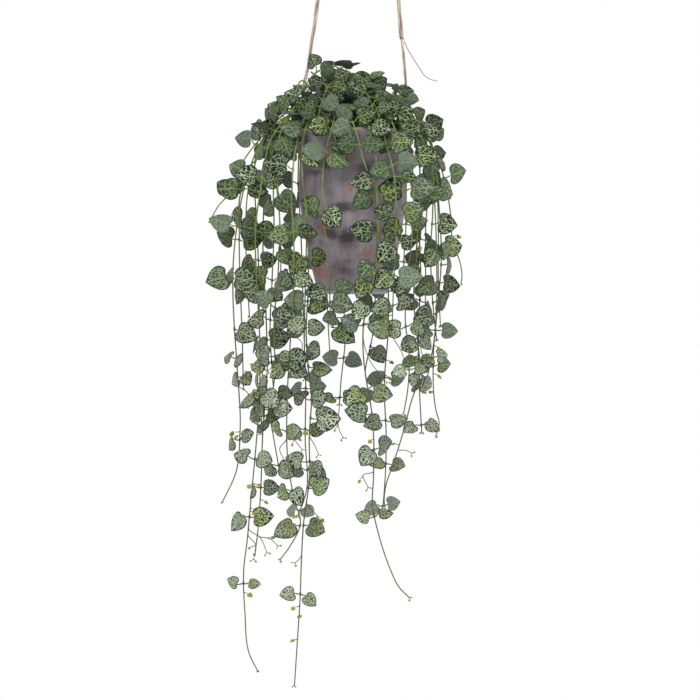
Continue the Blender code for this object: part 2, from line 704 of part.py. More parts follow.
def new_object(name: str, mesh: bpy.types.Mesh, material: bpy.types.Material) -> bpy.types.Object:
    """An object of a finished mesh, linked to the scene."""
    mesh.materials.append(material)
    piece = bpy.data.objects.new(name, mesh)
    bpy.context.scene.collection.objects.link(piece)
    return piece


def finish(shape: bmesh.types.BMesh, name: str) -> bpy.types.Mesh:
    """The mesh of a shape, with its faces pointing out."""
    bmesh.ops.recalc_face_normals(shape, faces=shape.faces)
    mesh = bpy.data.meshes.new(name)
    shape.to_mesh(mesh)
    shape.free()
    return mesh


def material(name: str, colour: tuple, roughness: float) -> bpy.types.Material:
    """A plain Principled material."""
    made = bpy.data.materials.new(name)
    made.use_nodes = True
    shader = made.node_tree.nodes["Principled BSDF"]
    shader.inputs["Base Color"].default_value = (*colour, 1.0)
    shader.inputs["Roughness"].default_value = roughness
    return made


def ring(centre: Vector, along: Vector, forward: Vector, radius: float) -> list:
    """Three corners round a stem, the first one forwards."""
    forward = (forward - along * forward.dot(along)).normalized()
    beside = along.cross(forward)
    return [centre + (forward * math.cos(turn) + beside * math.sin(turn)) * radius
            for turn in (0, 2 * math.pi / 3, 4 * math.pi / 3)]


def least_twist(first: list, second: list) -> int:
    """How far the second loop of corners is turned so that it lies straightest over the first."""
    def centred(loop: list) -> list:
        middle = sum((corner.co for corner in loop), Vector()) / len(loop)
        return [corner.co - middle for corner in loop]

    a, b = centred(first), centred(second)
    count = len(a)

    def strain(k: int) -> float:
        return sum((a[i] - b[(i + k) % count]).length_squared for i in range(count))

    return min(range(count), key=strain)


def bridge(shape: bmesh.types.BMesh, first: list, second: list, leave: tuple = ()) -> None:
    """Faces between two loops of corners, but not on the sides that are left."""
    count = len(first)
    for i in range(count):
        if i not in leave:
            k = (i + 1) % count
            shape.faces.new((first[i], first[k], second[k], second[i]))


def turned_to(first: list, second: list) -> list:
    """The second loop with its corners in the order that lies straightest over the first."""
    k = least_twist(first, second)
    return second[k:] + second[:k]


def ring_places(line: Line, start: float, end: float) -> list:
    """Where rings are needed between two places on a stem, to follow it closely."""
    middle = (start + end) / 2
    straight = (line.at(start) + line.at(end)) / 2
    if end - start < 5 * MM or ((line.at(middle) - straight).length < STEM_SAG * MM):
        return []
    return [*ring_places(line, start, middle), middle, *ring_places(line, middle, end)]


def add_leaf(shape: bmesh.types.BMesh, leaf: Leaf, facet: list) -> None:
    """A leaf's petiole, raised from a facet of the stem, and its blade."""
    upper, lower = leaf.faces(BLADE_THICKNESS * MM)
    top = [shape.verts.new(point) for point in upper]
    bottom = [shape.verts.new(point) for point in lower]
    for a, b, c in blade_triangles(len(top)):
        shape.faces.new((top[a], top[b], top[c]))
        shape.faces.new((bottom[c], bottom[b], bottom[a]))
    for i in range(len(top) - 1):
        shape.faces.new((top[i], top[i + 1], bottom[i + 1], bottom[i]))
    notch = [top[0], top[-1], bottom[-1], bottom[0]]
    way = leaf.base - leaf.root

    def facing(loop: list) -> float:
        return (loop[1].co - loop[0].co).cross(loop[2].co - loop[1].co).dot(way)

    if facing(facet) * facing(notch) < 0:
        notch.reverse()
    bridge(shape, facet, turned_to(facet, notch))


def vine_mesh(name: str, line: Line, nodes: list) -> bpy.types.Mesh:
    """One leafy stem as one closed body: a three-sided stem, its petioles, blades and end bud."""
    shape = bmesh.new()
    half = NODE_HALF_HEIGHT * MM
    bud = END_BUD * MM
    places = [(0.0, None), ((HOLE_DEPTH + 1) * MM, None)]
    for node in nodes:
        places += [(spot, None) for spot in ring_places(line, places[-1][0], node.along - half)]
        places += [(node.along - half, None), (node.along + half, node)]
    places += [(spot, None) for spot in ring_places(line, places[-1][0], line.length - bud)]
    places.append((line.length - bud, None))
    below = None
    for i, (along, node) in enumerate(places):
        partner = node or (places[i + 1][1] if i + 1 < len(places) else None)
        reference = partner.along if partner else along
        tangent = line.tangent(reference)
        forward = partner.forward if partner else outward(line.at(along))
        radius = STEM_RADIUS_ROOT + (STEM_RADIUS_TIP - STEM_RADIUS_ROOT) * along / line.length
        corners = [shape.verts.new(p) for p in ring(line.at(along), tangent, forward, radius * MM)]
        if below is None:
            shape.faces.new(corners)
        elif node is None:
            shift = least_twist(below, corners)
            corners = corners[shift:] + corners[:shift]
            bridge(shape, below, corners)
        else:
            corners = corners[shift:] + corners[:shift]
            grown = {(facet - shift) % 3: leaf for facet, leaf in zip((0, 2), node.leaves) if leaf}
            bridge(shape, below, corners, tuple(grown))
            for a, leaf in grown.items():
                b = (a + 1) % 3
                add_leaf(shape, leaf, [below[a], below[b], corners[b], corners[a]])
        below = corners
    tip = line.at(line.length)
    for back, radius in ((1.6, 1.25), (0.0, 0.45)):
        points = ring(line.at(line.length - back * MM), line.tangent(line.length), outward(tip), radius * MM)
        corners = turned_to(below, [shape.verts.new(point) for point in points])
        bridge(shape, below, corners)
        below = corners
    shape.faces.new(below)
    return finish(shape, name)


def turned(name: str, profile: list, sides: int, hub: Vector, axis: Vector) -> bpy.types.Mesh:
    """A closed outline of heights and radii turned about an axis through a hub, in millimetres."""
    shape = bmesh.new()
    side = axis.orthogonal().normalized()
    corners = [shape.verts.new(hub + (axis * height + side * radius) * MM) for height, radius in profile]
    closed = min(radius for _, radius in profile) > 0
    edges = [shape.edges.new(pair) for pair in zip(corners, corners[1:])]
    if closed:
        edges.append(shape.edges.new((corners[-1], corners[0])))
    bmesh.ops.spin(shape, geom=[*corners, *edges], cent=hub, axis=axis, angle=2 * math.pi, steps=sides,
                   use_merge=True)
    bmesh.ops.remove_doubles(shape, verts=shape.verts, dist=1e-6)
    return finish(shape, name)


def cut(piece: bpy.types.Object, shape: bmesh.types.BMesh) -> None:
    """A shape taken out of a piece, for good."""
    tool = new_object("cutter", finish(shape, "cutter"), piece.active_material)
    boolean = piece.modifiers.new("holes", "BOOLEAN")
    boolean.operation = "DIFFERENCE"
    boolean.solver = "EXACT"
    boolean.object = tool
    evaluated = piece.evaluated_get(bpy.context.evaluated_depsgraph_get())
    mesh = bpy.data.meshes.new_from_object(evaluated)
    piece.modifiers.clear()
    piece.data = mesh
    bpy.data.objects.remove(tool)


def build_pot() -> bpy.types.Object:
    """The pot: a turned wall with a drain hole in its floor and a bore for each leg of the sling."""
    clay = material("clay", (0.17, 0.14, 0.16), 0.85)
    profile = [*POT_OUTER, *POT_INNER, (FLOOR_HEIGHT, DRAIN_RADIUS), (0.0, DRAIN_RADIUS)]
    foot = place(0, 0, -POT_HEIGHT)
    pot = new_object("pot", turned("pot", profile, POT_SIDES, foot, Vector((0, 0, 1))), clay)
    bores = bmesh.new()
    wall = radius_at(POT_OUTER, BORE_HEIGHT)
    for side in (-1, 1):
        middle = place(side * (wall - 3), 0, BORE_HEIGHT - POT_HEIGHT)
        matrix = Matrix.Translation(middle) @ Matrix.Rotation(math.pi / 2, 4, "Y")
        bmesh.ops.create_cone(bores, cap_ends=True, segments=BORE_SIDES, radius1=BORE_RADIUS * MM,
                              radius2=BORE_RADIUS * MM, depth=BORE_LENGTH * MM, matrix=matrix)
    cut(pot, bores)
    pot.data.shade_smooth()
    pot.data.set_sharp_from_angle(angle=math.radians(35))
    return pot


def build_soil(sites: list) -> bpy.types.Object:
    """The soil: a domed fill a little clear of the pot, with a plain hole for each stem."""
    earth = material("soil", (0.045, 0.03, 0.02), 0.95)
    sides = [(height, radius - 0.35) for height, radius in reversed(POT_INNER) if FLOOR_HEIGHT < height < 120]
    base = FLOOR_HEIGHT + GAP
    profile = [(base, 0.0), (base, 30.1), *sides, *SOIL_TOP, (SOIL_CENTRE_HEIGHT, 0.0)]
    foot = place(0, 0, -POT_HEIGHT)
    soil = new_object("soil", turned("soil", profile, POT_SIDES, foot, Vector((0, 0, 1))), earth)
    holes = bmesh.new()
    for site in sites:
        surface = soil_height(math.hypot(*site)) - POT_HEIGHT
        depth = HOLE_DEPTH + GAP + 3
        matrix = Matrix.Translation(place(*site, surface - HOLE_DEPTH - GAP + depth / 2))
        turn = Matrix.Rotation(math.pi / 4, 4, "Z")
        bmesh.ops.create_cone(holes, cap_ends=True, segments=4, radius1=HOLE_HALF_WIDTH * math.sqrt(2) * MM,
                              radius2=HOLE_HALF_WIDTH * math.sqrt(2) * MM, depth=depth * MM,
                              matrix=matrix @ turn)
    cut(soil, holes)
    return soil


def build_tube(name: str, points: list, diameter: float, look: bpy.types.Material) -> bpy.types.Object:
    """A cord as a curve with a round section and filled caps."""
    curve = bpy.data.curves.new(name, "CURVE")
    curve.dimensions = "3D"
    curve.resolution_u = 1
    curve.bevel_depth = diameter / 2 * MM
    curve.bevel_resolution = 2
    curve.use_fill_caps = True
    spline = curve.splines.new("POLY")
    spline.points.add(len(points) - 1)
    for corner, point in zip(spline.points, points):
        corner.co = (*point, 1.0)
    curve.materials.append(look)
    tube = bpy.data.objects.new(name, curve)
    bpy.context.scene.collection.objects.link(tube)
    return tube


def build_sling() -> None:
    """The sling, the knots at its ends, the tie round its right leg and the fibre that hangs from it."""
    fibre = material("fibre", (0.42, 0.33, 0.25), 0.8)
    dense = Line(smooth_curve(sling_route()))
    count = round(dense.length / (CORD_STEP * MM))
    points = [dense.at(dense.length * i / count) for i in range(count + 1)]
    build_tube("sling", points, CORD_DIAMETER, fibre)
    wall = radius_at(POT_OUTER, BORE_HEIGHT)
    for name, side in (("stopper_left", -1), ("stopper_right", 1)):
        hub = place(side * (wall + KNOT_SEAT), 0, BORE_HEIGHT - POT_HEIGHT)
        new_object(name, turned(name, list(KNOT_PROFILE), KNOT_SIDES, hub, Vector((side, 0, 0))), fibre)
    tie_at = min(range(len(dense.points)), key=lambda i: abs(dense.points[i].z - TIE_Z * MM)
                 + (1 if dense.points[i].x < 0 else 0))
    leg = (dense.points[tie_at + 3] - dense.points[tie_at - 3]).normalized()
    bore = CORD_DIAMETER / 2 + GAP + 0.1
    tie = [(height, bore + thick) for height, thick in TIE_PROFILE]
    new_object("sling_tie", turned("sling_tie", tie, KNOT_SIDES, dense.points[tie_at], leg), fibre)
    route = [Vector((x * MM, 0.0, z * MM)) for x, z in STRAND_ROUTE]
    strand = Line(smooth_curve(route))
    count = round(strand.length / (STRAND_STEP * MM))
    points = [strand.at(strand.length * i / count) for i in range(count + 1)]
    build_tube("loose_strand", points, STRAND_DIAMETER, fibre)


def build_vines(vines: list, lines: list, grown: list) -> None:
    """Every leafy stem."""
    greens = [material("leaf_" + shade, colour, 0.55) for shade, colour in GREENS.items()]
    leaves = 0
    for number, (vine, line, nodes) in enumerate(zip(vines, lines, grown), start=1):
        name = f"vine_{number:02d}"
        new_object(name, vine_mesh(name, line, nodes), greens[number % 3])
        leaves += sum(leaf is not None for node in nodes for leaf in node.leaves)
    print(len(vines), "stems with", leaves, "leaves")


def main() -> None:
    """The whole object."""
    for piece in list(bpy.data.objects):
        bpy.data.objects.remove(piece)
    vines = [*FRONT_VINES, *LEFT_VINES, *RIGHT_VINES, *CROWN_VINES]
    vines += [back_vine(index) for index in range(BACK_COUNT)]
    sling = smooth_curve(sling_route())
    lines = settle_stems(vines, sling)
    grown = hang_leaves(vines, lines, sling)
    build_pot()
    build_soil(root_sites(len(vines)))
    build_sling()
    build_vines(vines, lines, grown)


main()
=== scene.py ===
"""Looks of a hanging ceropegia: its pot, soil, sling, stems, leaves and buds over the plain solids.

Sizes are in millimetres and become metres through MM. The frame is the solids' own: +Z up, the front
towards -Y and the origin at the inside top of the sling. The stems and leaves follow the same rules and
draws as the solids, so that each finer leaf lies where its plain one does.
"""

import json
import logging
from bisect import bisect_right
from collections.abc import Iterator
from contextlib import contextmanager
from dataclasses import dataclass, field
from enum import Enum
from math import atan2, cos, dist, exp, hypot, pi, radians, sin, sqrt
from pathlib import Path
from random import Random

import bpy
from mathutils import Matrix, Vector
from mathutils.bvhtree import BVHTree
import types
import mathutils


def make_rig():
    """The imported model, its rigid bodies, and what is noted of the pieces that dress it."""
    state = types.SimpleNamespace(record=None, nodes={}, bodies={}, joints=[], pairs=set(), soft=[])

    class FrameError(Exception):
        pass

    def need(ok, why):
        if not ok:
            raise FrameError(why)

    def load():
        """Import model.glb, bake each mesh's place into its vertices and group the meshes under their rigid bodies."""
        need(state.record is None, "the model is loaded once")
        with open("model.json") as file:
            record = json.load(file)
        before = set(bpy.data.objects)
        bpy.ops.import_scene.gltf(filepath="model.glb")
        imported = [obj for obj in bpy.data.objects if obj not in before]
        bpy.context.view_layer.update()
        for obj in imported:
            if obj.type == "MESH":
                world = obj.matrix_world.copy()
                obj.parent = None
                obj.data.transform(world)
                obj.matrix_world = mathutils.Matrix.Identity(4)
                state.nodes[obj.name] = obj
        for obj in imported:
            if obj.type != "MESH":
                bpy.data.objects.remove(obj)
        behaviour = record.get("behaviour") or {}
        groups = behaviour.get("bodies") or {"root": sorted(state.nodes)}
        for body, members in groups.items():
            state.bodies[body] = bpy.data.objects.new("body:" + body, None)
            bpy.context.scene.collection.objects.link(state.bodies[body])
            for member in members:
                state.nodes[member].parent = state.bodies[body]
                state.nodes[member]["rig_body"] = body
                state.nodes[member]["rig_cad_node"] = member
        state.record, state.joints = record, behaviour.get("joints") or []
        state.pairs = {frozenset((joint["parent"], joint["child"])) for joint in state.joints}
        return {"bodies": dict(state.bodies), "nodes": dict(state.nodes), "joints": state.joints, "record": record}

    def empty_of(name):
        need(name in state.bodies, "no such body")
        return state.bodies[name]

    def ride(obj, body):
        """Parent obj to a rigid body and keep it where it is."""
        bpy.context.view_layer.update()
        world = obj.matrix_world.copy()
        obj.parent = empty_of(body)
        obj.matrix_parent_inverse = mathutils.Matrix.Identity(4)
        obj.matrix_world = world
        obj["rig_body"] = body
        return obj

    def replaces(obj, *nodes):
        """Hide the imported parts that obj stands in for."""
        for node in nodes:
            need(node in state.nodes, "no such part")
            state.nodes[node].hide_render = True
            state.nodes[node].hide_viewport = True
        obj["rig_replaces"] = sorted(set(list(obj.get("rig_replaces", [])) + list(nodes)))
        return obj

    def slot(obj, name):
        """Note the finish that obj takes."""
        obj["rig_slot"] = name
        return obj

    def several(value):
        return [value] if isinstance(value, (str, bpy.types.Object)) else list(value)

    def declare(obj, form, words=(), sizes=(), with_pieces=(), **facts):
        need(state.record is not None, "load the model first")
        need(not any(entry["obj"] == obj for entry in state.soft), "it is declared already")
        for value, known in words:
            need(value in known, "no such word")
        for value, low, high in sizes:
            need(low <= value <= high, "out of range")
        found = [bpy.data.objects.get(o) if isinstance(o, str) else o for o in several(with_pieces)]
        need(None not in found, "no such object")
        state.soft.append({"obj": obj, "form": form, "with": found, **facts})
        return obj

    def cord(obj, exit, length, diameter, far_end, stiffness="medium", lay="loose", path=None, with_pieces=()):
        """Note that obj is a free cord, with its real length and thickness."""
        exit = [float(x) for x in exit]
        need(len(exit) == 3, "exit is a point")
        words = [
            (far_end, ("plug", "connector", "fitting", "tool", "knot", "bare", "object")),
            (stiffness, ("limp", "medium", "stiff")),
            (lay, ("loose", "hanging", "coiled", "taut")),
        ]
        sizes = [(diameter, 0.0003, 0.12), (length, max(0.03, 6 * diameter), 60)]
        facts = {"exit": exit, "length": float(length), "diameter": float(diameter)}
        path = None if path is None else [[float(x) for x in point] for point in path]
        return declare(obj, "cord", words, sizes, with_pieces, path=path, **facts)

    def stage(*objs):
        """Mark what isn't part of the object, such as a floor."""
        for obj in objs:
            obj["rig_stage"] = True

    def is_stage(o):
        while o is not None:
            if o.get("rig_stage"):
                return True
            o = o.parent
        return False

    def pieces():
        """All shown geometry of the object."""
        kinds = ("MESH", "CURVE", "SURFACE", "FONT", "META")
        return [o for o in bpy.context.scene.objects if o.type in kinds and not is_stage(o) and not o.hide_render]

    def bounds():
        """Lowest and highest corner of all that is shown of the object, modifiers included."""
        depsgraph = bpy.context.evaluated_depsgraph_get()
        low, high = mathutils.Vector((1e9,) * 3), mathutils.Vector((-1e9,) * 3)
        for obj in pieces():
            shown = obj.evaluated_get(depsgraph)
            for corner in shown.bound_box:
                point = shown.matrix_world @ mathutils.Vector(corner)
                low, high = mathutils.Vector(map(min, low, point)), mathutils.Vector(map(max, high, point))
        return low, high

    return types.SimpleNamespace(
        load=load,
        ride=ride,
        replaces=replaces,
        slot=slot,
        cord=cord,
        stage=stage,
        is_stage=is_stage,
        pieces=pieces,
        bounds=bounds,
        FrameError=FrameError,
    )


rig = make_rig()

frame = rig.load()

MM = 0.001
GAP = 0.3
ROOT = "root"
SIZE_FILE = Path("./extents.json")

Piece = bpy.types.Object
Material = bpy.types.Material

log = logging.getLogger("ceropegia")


def smooth_curve(points: list, start: Vector | None = None, step: float = MM) -> list:
    """Points about a step apart along one smooth curve through the given points.

    Args:
        points: The route's own points.
        start: The direction in which the curve sets out, where it isn't towards the second point.
        step: The distance between the points of the curve.

    Returns:
        The points of the curve, first and last included.
    """
    chords = [(b - a).length for a, b in zip(points, points[1:])]
    ways = [(b - a) / chord for a, b, chord in zip(points, points[1:], chords)]
    tangents = [start or ways[0]]
    for before, after, near, far in zip(ways, ways[1:], chords, chords[1:]):
        tangents.append((before * far + after * near) / (near + far))
    tangents.append(ways[-1])
    curve = []
    for i, chord in enumerate(chords):
        count = max(1, round(chord / step))
        for k in range(count):
            u = k / count
            rise, fall = u * u * (3 - 2 * u), u * u * (2 * u - 3) + 1
            curve.append(points[i] * fall + points[i + 1] * rise + tangents[i] * (chord * u * (1 - u) ** 2)
                         - tangents[i + 1] * (chord * u * u * (1 - u)))
    curve.append(points[-1])
    return curve


class Line:
    """A centre line with the length along it."""

    def __init__(self, points: list) -> None:
        """A line through points.

        Args:
            points: The points, close together, in metres.
        """
        self.points = points
        self.along = [0.0]
        for a, b in zip(points, points[1:]):
            self.along.append(self.along[-1] + (b - a).length)
        self.length = self.along[-1]

    def at(self, along: float) -> Vector:
        """Finds a place on the line.

        Args:
            along: The length along it.

        Returns:
            The point there.
        """
        i = min(max(bisect_right(self.along, along) - 1, 0), len(self.along) - 2)
        share = (along - self.along[i]) / (self.along[i + 1] - self.along[i])
        return self.points[i].lerp(self.points[i + 1], min(max(share, 0.0), 1.0))

    def tangent(self, along: float, reach: float = 2 * MM) -> Vector:
        """The direction of the line at a length along it."""
        return (self.at(min(along + reach, self.length)) - self.at(max(along - reach, 0.0))).normalized()

    def even(self, step: float) -> list:
        """Points along the line about a step apart, in metres, both ends included."""
        count = max(2, round(self.length / step))
        return [self.at(self.length * i / count) for i in range(count + 1)]


@dataclass(frozen=True)
class PotForm:
    """The pot's sizes: heights above its foot and radii from its axis, and the soil's heights by radii."""

    axis_x: float = -6.0
    rim_z: float = -179.0
    height: float = 162.8
    outer: tuple = ((0.0, 34.7), (34.0, 42.9), (68.0, 49.8), (98.0, 54.0), (118.0, 54.0), (134.0, 53.4),
                    (141.0, 55.3), (150.0, 59.4), (161.0, 62.5), (162.8, 61.3))
    inner: tuple = ((162.8, 57.5), (150.0, 53.4), (137.0, 47.6), (98.0, 48.0), (34.0, 36.9), (8.0, 30.5))
    lip_inner: float = 57.3
    lip_outer: float = 62.7
    lip_depth: float = 4.0
    floor: float = 8.0
    drain: float = 7.0
    plain_sides: int = 30
    soil_edge: float = 127.0
    soil_top: tuple = ((0.0, 135.0), (16.0, 134.0), (33.0, 131.0), (47.35, 127.0))
    hole_depth: float = 12.0
    root_spread: float = 39.0
    bore_height: float = 136.8
    bore_radius: float = 2.35
    knot_seat: float = 1.3

    def place(self, right: float, back: float, above: float) -> Vector:
        """A point in metres, from millimetres right of the pot's axis, behind it and above the rim."""
        return Vector(((self.axis_x + right) * MM, back * MM, (self.rim_z + above) * MM))

    @staticmethod
    def radius(profile: tuple, height: float) -> float:
        """Reads a profile between its points.

        Args:
            profile: Pairs such as heights and radii.
            height: A value of the first kind.

        Returns:
            The value of the second kind there.
        """
        for (low, low_radius), (high, high_radius) in zip(profile, profile[1:]):
            if min(low, high) <= height <= max(low, high) and low != high:
                return low_radius + (high_radius - low_radius) * (height - low) / (high - low)
        return 0.0

    def soil_at(self, radius: float) -> float:
        """The height of the soil's domed top at a distance from the pot's axis."""
        return self.radius(self.soil_top, min(radius, self.soil_top[-1][0]))

    def clears(self, point: Vector, room: float) -> bool:
        """Checks a point against the pot's wall and the soil.

        Args:
            point: The point, in metres.
            room: The least distance, in millimetres.

        Returns:
            Whether the point keeps it.
        """
        height = point.z / MM - self.rim_z + self.height
        radius = hypot(point.x / MM - self.axis_x, point.y / MM)
        if height > self.height + room or height < -room:
            return True
        if height > self.height - self.lip_depth:
            return radius < self.lip_inner - room or radius > self.lip_outer + room
        if radius > self.radius(self.outer, max(height, 0.0)) + room:
            return True
        inside = radius < self.radius(self.inner, max(height, self.floor)) - room
        return inside and height > self.soil_at(radius) + room

    def root_sites(self, count: int) -> list:
        """Places of the roots on the soil, evenly spread, right of and behind the pot's axis.

        Args:
            count: How many roots there are.

        Returns:
            The places, right and back.
        """
        turn = pi * (3 - sqrt(5))
        radii = [self.root_spread * sqrt((i + 0.5) / count) for i in range(count)]
        return [(radius * cos(i * turn), radius * sin(i * turn)) for i, radius in enumerate(radii)]


@dataclass(frozen=True)
class SlingForm:
    """The sling's sizes: places are right of the origin and above it."""

    diameter: float = 3.6
    arch_radius: float = 39.0
    turn_radius: float = 7.4
    left_leg: tuple = ((-54.9, -133.0), (-50.9, -115.0), (-46.4, -86.0), (-41.6, -52.0))
    right_leg: tuple = ((46.8, -135.0), (45.1, -108.0), (42.6, -85.5), (40.0, -52.0))
    tie_z: float = -85.5
    strand_diameter: float = 1.0
    strand_route: tuple = ((45.3, -89.0), (49.0, -97.5), (54.1, -106.0), (61.1, -117.0), (66.1, -124.0),
                           (72.1, -127.5), (78.6, -129.0))

    def route(self, pot: PotForm) -> list:
        """The way of the sling.

        Args:
            pot: The pot that it carries.

        Returns:
            Its own points from the left bore to the right one, in metres.
        """
        def arc(right: float, up: float, radius: float, first: float, turn: float, count: int) -> list:
            """Points round a centre, from a first angle on by equal turns in degrees."""
            angles = [radians(first + turn * step) for step in range(count)]
            return [(right + radius * cos(angle), up + radius * sin(angle)) for angle in angles]

        bore_z = pot.rim_z - pot.height + pot.bore_height
        wall = pot.radius(pot.outer, pot.bore_height) + pot.knot_seat - GAP
        inside = pot.radius(pot.inner, pot.bore_height) - 0.6
        turn_z = bore_z + self.turn_radius
        arch_z = self.diameter / 2 - self.arch_radius
        route = [(pot.axis_x - wall, bore_z), (pot.axis_x - (wall + inside) / 2, bore_z)]
        route += arc(pot.axis_x - inside, turn_z, self.turn_radius, -90, 24.5, 5)
        route += self.left_leg
        route += arc(0.0, arch_z, self.arch_radius, 172, -20.5, 9)
        route += reversed(self.right_leg)
        route += arc(pot.axis_x + inside, turn_z, self.turn_radius, -186, 24.0, 5)
        route += [(pot.axis_x + (wall + inside) / 2, bore_z), (pot.axis_x + wall, bore_z)]
        return [Vector((x * MM, 0.0, z * MM)) for x, z in route]


@dataclass(frozen=True)
class Vine:
    """One rooted stem, in millimetres from the pot's axis.

    over is where it passes over the mouth: right, back and above the rim. hang are points further along it:
    right, back and below the rim. pairs are its leaf pairs further down: drop below the rim and leaf width.
    upper is the spacing of the pairs above those, and upper_width the width of their leaves. leafy is how
    many of nine places on its upper part carry a pair in the plain solids.
    """

    over: tuple
    hang: tuple
    pairs: tuple = ()
    upper: float = 27.0
    upper_width: float = 21.0
    leafy: int = 3


FRONT_VINES = (
    Vine((-13, -34, 24), ((-20, -62, -2), (-29, -69, 40), (-29, -67, 82), (-26, -64, 119), (-23, -60, 160),
         (-22, -56, 196)), ((46, 23), (83, 22), (119, 22), (158, 20)), leafy=7),
    Vine((-5, -44, 16), ((4, -66, 6), (12, -72, 36), (22, -70, 62), (26, -66, 96), (28, -62, 120)),
         ((37, 18), (68, 19), (104, 20)), leafy=7),
    Vine((14, -42, 20), ((25, -66, 14), (33, -75, 45), (36, -74, 75), (35, -72, 125), (33, -68, 170),
         (32, -64, 200)), ((58, 20), (88, 20), (116, 20), (146, 21), (176, 18)), leafy=7),
    Vine((28, -38, 22), ((42, -60, 4), (48, -66, 30), (52, -64, 62), (52, -62, 98), (50, -60, 132),
         (50, -58, 160)), ((26, 20), (62, 21), (96, 18), (132, 20)), leafy=7),
    Vine((4, -52, 12), ((15, -70, 20), (17, -76, 60), (18, -74, 100), (15, -68, 135), (9, -62, 165),
         (4, -58, 195), (4, -55, 224), (7, -52, 249), (12, -50, 278), (14, -49, 302), (14, -48, 344),
         (13, -47, 372), (19, -46, 400), (31, -44, 436), (38, -42, 451), (51, -40, 465)), ((152, 20),
         (195, 21), (260, 20), (318, 20), (383, 14)), leafy=7),
    Vine((-34, -36, 22), ((-48, -62, 8), (-50, -70, 40), (-46, -66, 82), (-44, -64, 122), (-44, -60, 160),
         (-46, -56, 200), (-44, -50, 236), (-41, -48, 265), (-43, -46, 302), (-43, -45, 345),
         (-49, -44, 393), (-51, -42, 430), (-52, -41, 460), (-55, -40, 508), (-58, -39, 553)), ((44, 22),
         (88, 21), (128, 21), (172, 22), (215, 20), (268, 19), (330, 17), (393, 20), (461, 14)), leafy=7),
)

LEFT_VINES = (
    Vine((-62, -20, 14), ((-88, -32, 8), (-104, -34, 45), (-114, -32, 90), (-119, -30, 140),
         (-118, -28, 190), (-115, -26, 235), (-112, -26, 300), (-116, -26, 340), (-130, -26, 371)),
         ((24, 16), (60, 20), (96, 22), (148, 22), (227, 14), (309, 15)), 27, 20),
    Vine((-60, -4, 20), ((-92, -12, 8), (-112, -16, 36), (-122, -16, 62), (-134, -18, 76), (-143, -18, 92)),
         ((30, 17), (62, 18), (88, 17)), 26, 19),
    Vine((-52, -32, 20), ((-80, -50, 10), (-90, -54, 55), (-96, -50, 100), (-95, -46, 150), (-92, -42, 210),
         (-93, -40, 277), (-96, -38, 315), (-101, -36, 368), (-105, -34, 410), (-108, -33, 434),
         (-107, -32, 479), (-102, -31, 522), (-94, -30, 538)), ((20, 20), (50, 21), (86, 22), (120, 20),
         (152, 21), (191, 20), (264, 21), (328, 18), (385, 19), (450, 12))),
    Vine((-56, 8, 22), ((-80, 6, 6), (-88, 4, 60), (-90, 2, 120), (-87, 0, 180), (-86, 0, 248),
         (-90, -2, 300), (-92, -4, 357), (-95, -4, 400), (-98, -4, 424)), ((40, 20), (80, 20), (122, 20),
         (162, 21), (215, 20), (285, 16), (357, 15))),
    Vine((-48, -24, 32), ((-72, -40, 10), (-78, -44, 50), (-78, -42, 100), (-80, -38, 150), (-82, -34, 200),
         (-80, -30, 240), (-78, -26, 270)), ((16, 22), (50, 21), (84, 21), (118, 22), (150, 20), (190, 21),
         (232, 20), (262, 17))),
    Vine((-44, -40, 20), ((-62, -60, 4), (-66, -64, 50), (-64, -62, 100), (-66, -58, 150), (-70, -52, 200),
         (-69, -46, 245), (-74, -42, 285), (-70, -38, 312), (-64, -36, 345)), ((30, 21), (66, 22),
         (104, 21), (140, 21), (178, 20), (226, 20), (278, 19), (340, 18))),
    Vine((-60, 22, 18), ((-86, 26, 6), (-104, 28, 50), (-108, 26, 100), (-106, 22, 150), (-104, 18, 186)),
         ((22, 18), (54, 20), (88, 21), (122, 20), (156, 18))),
    Vine((-38, -10, 44), ((-64, -20, 26), (-84, -24, 34), (-98, -22, 64), (-100, -18, 110), (-99, -12, 160),
         (-97, -10, 220), (-96, -10, 262)), ((44, 20), (76, 21), (110, 20), (146, 18), (196, 17),
         (246, 14))),
    Vine((-42, -48, 14), ((-54, -70, 20), (-58, -74, 70), (-56, -72, 120), (-57, -66, 170), (-60, -60, 215),
         (-63, -56, 270), (-62, -54, 330), (-56, -53, 366), (-50, -52, 390), (-60, -51, 412),
         (-71, -50, 427)), ((62, 20), (104, 20), (146, 19), (190, 20), (236, 18), (300, 16), (358, 17))),
)

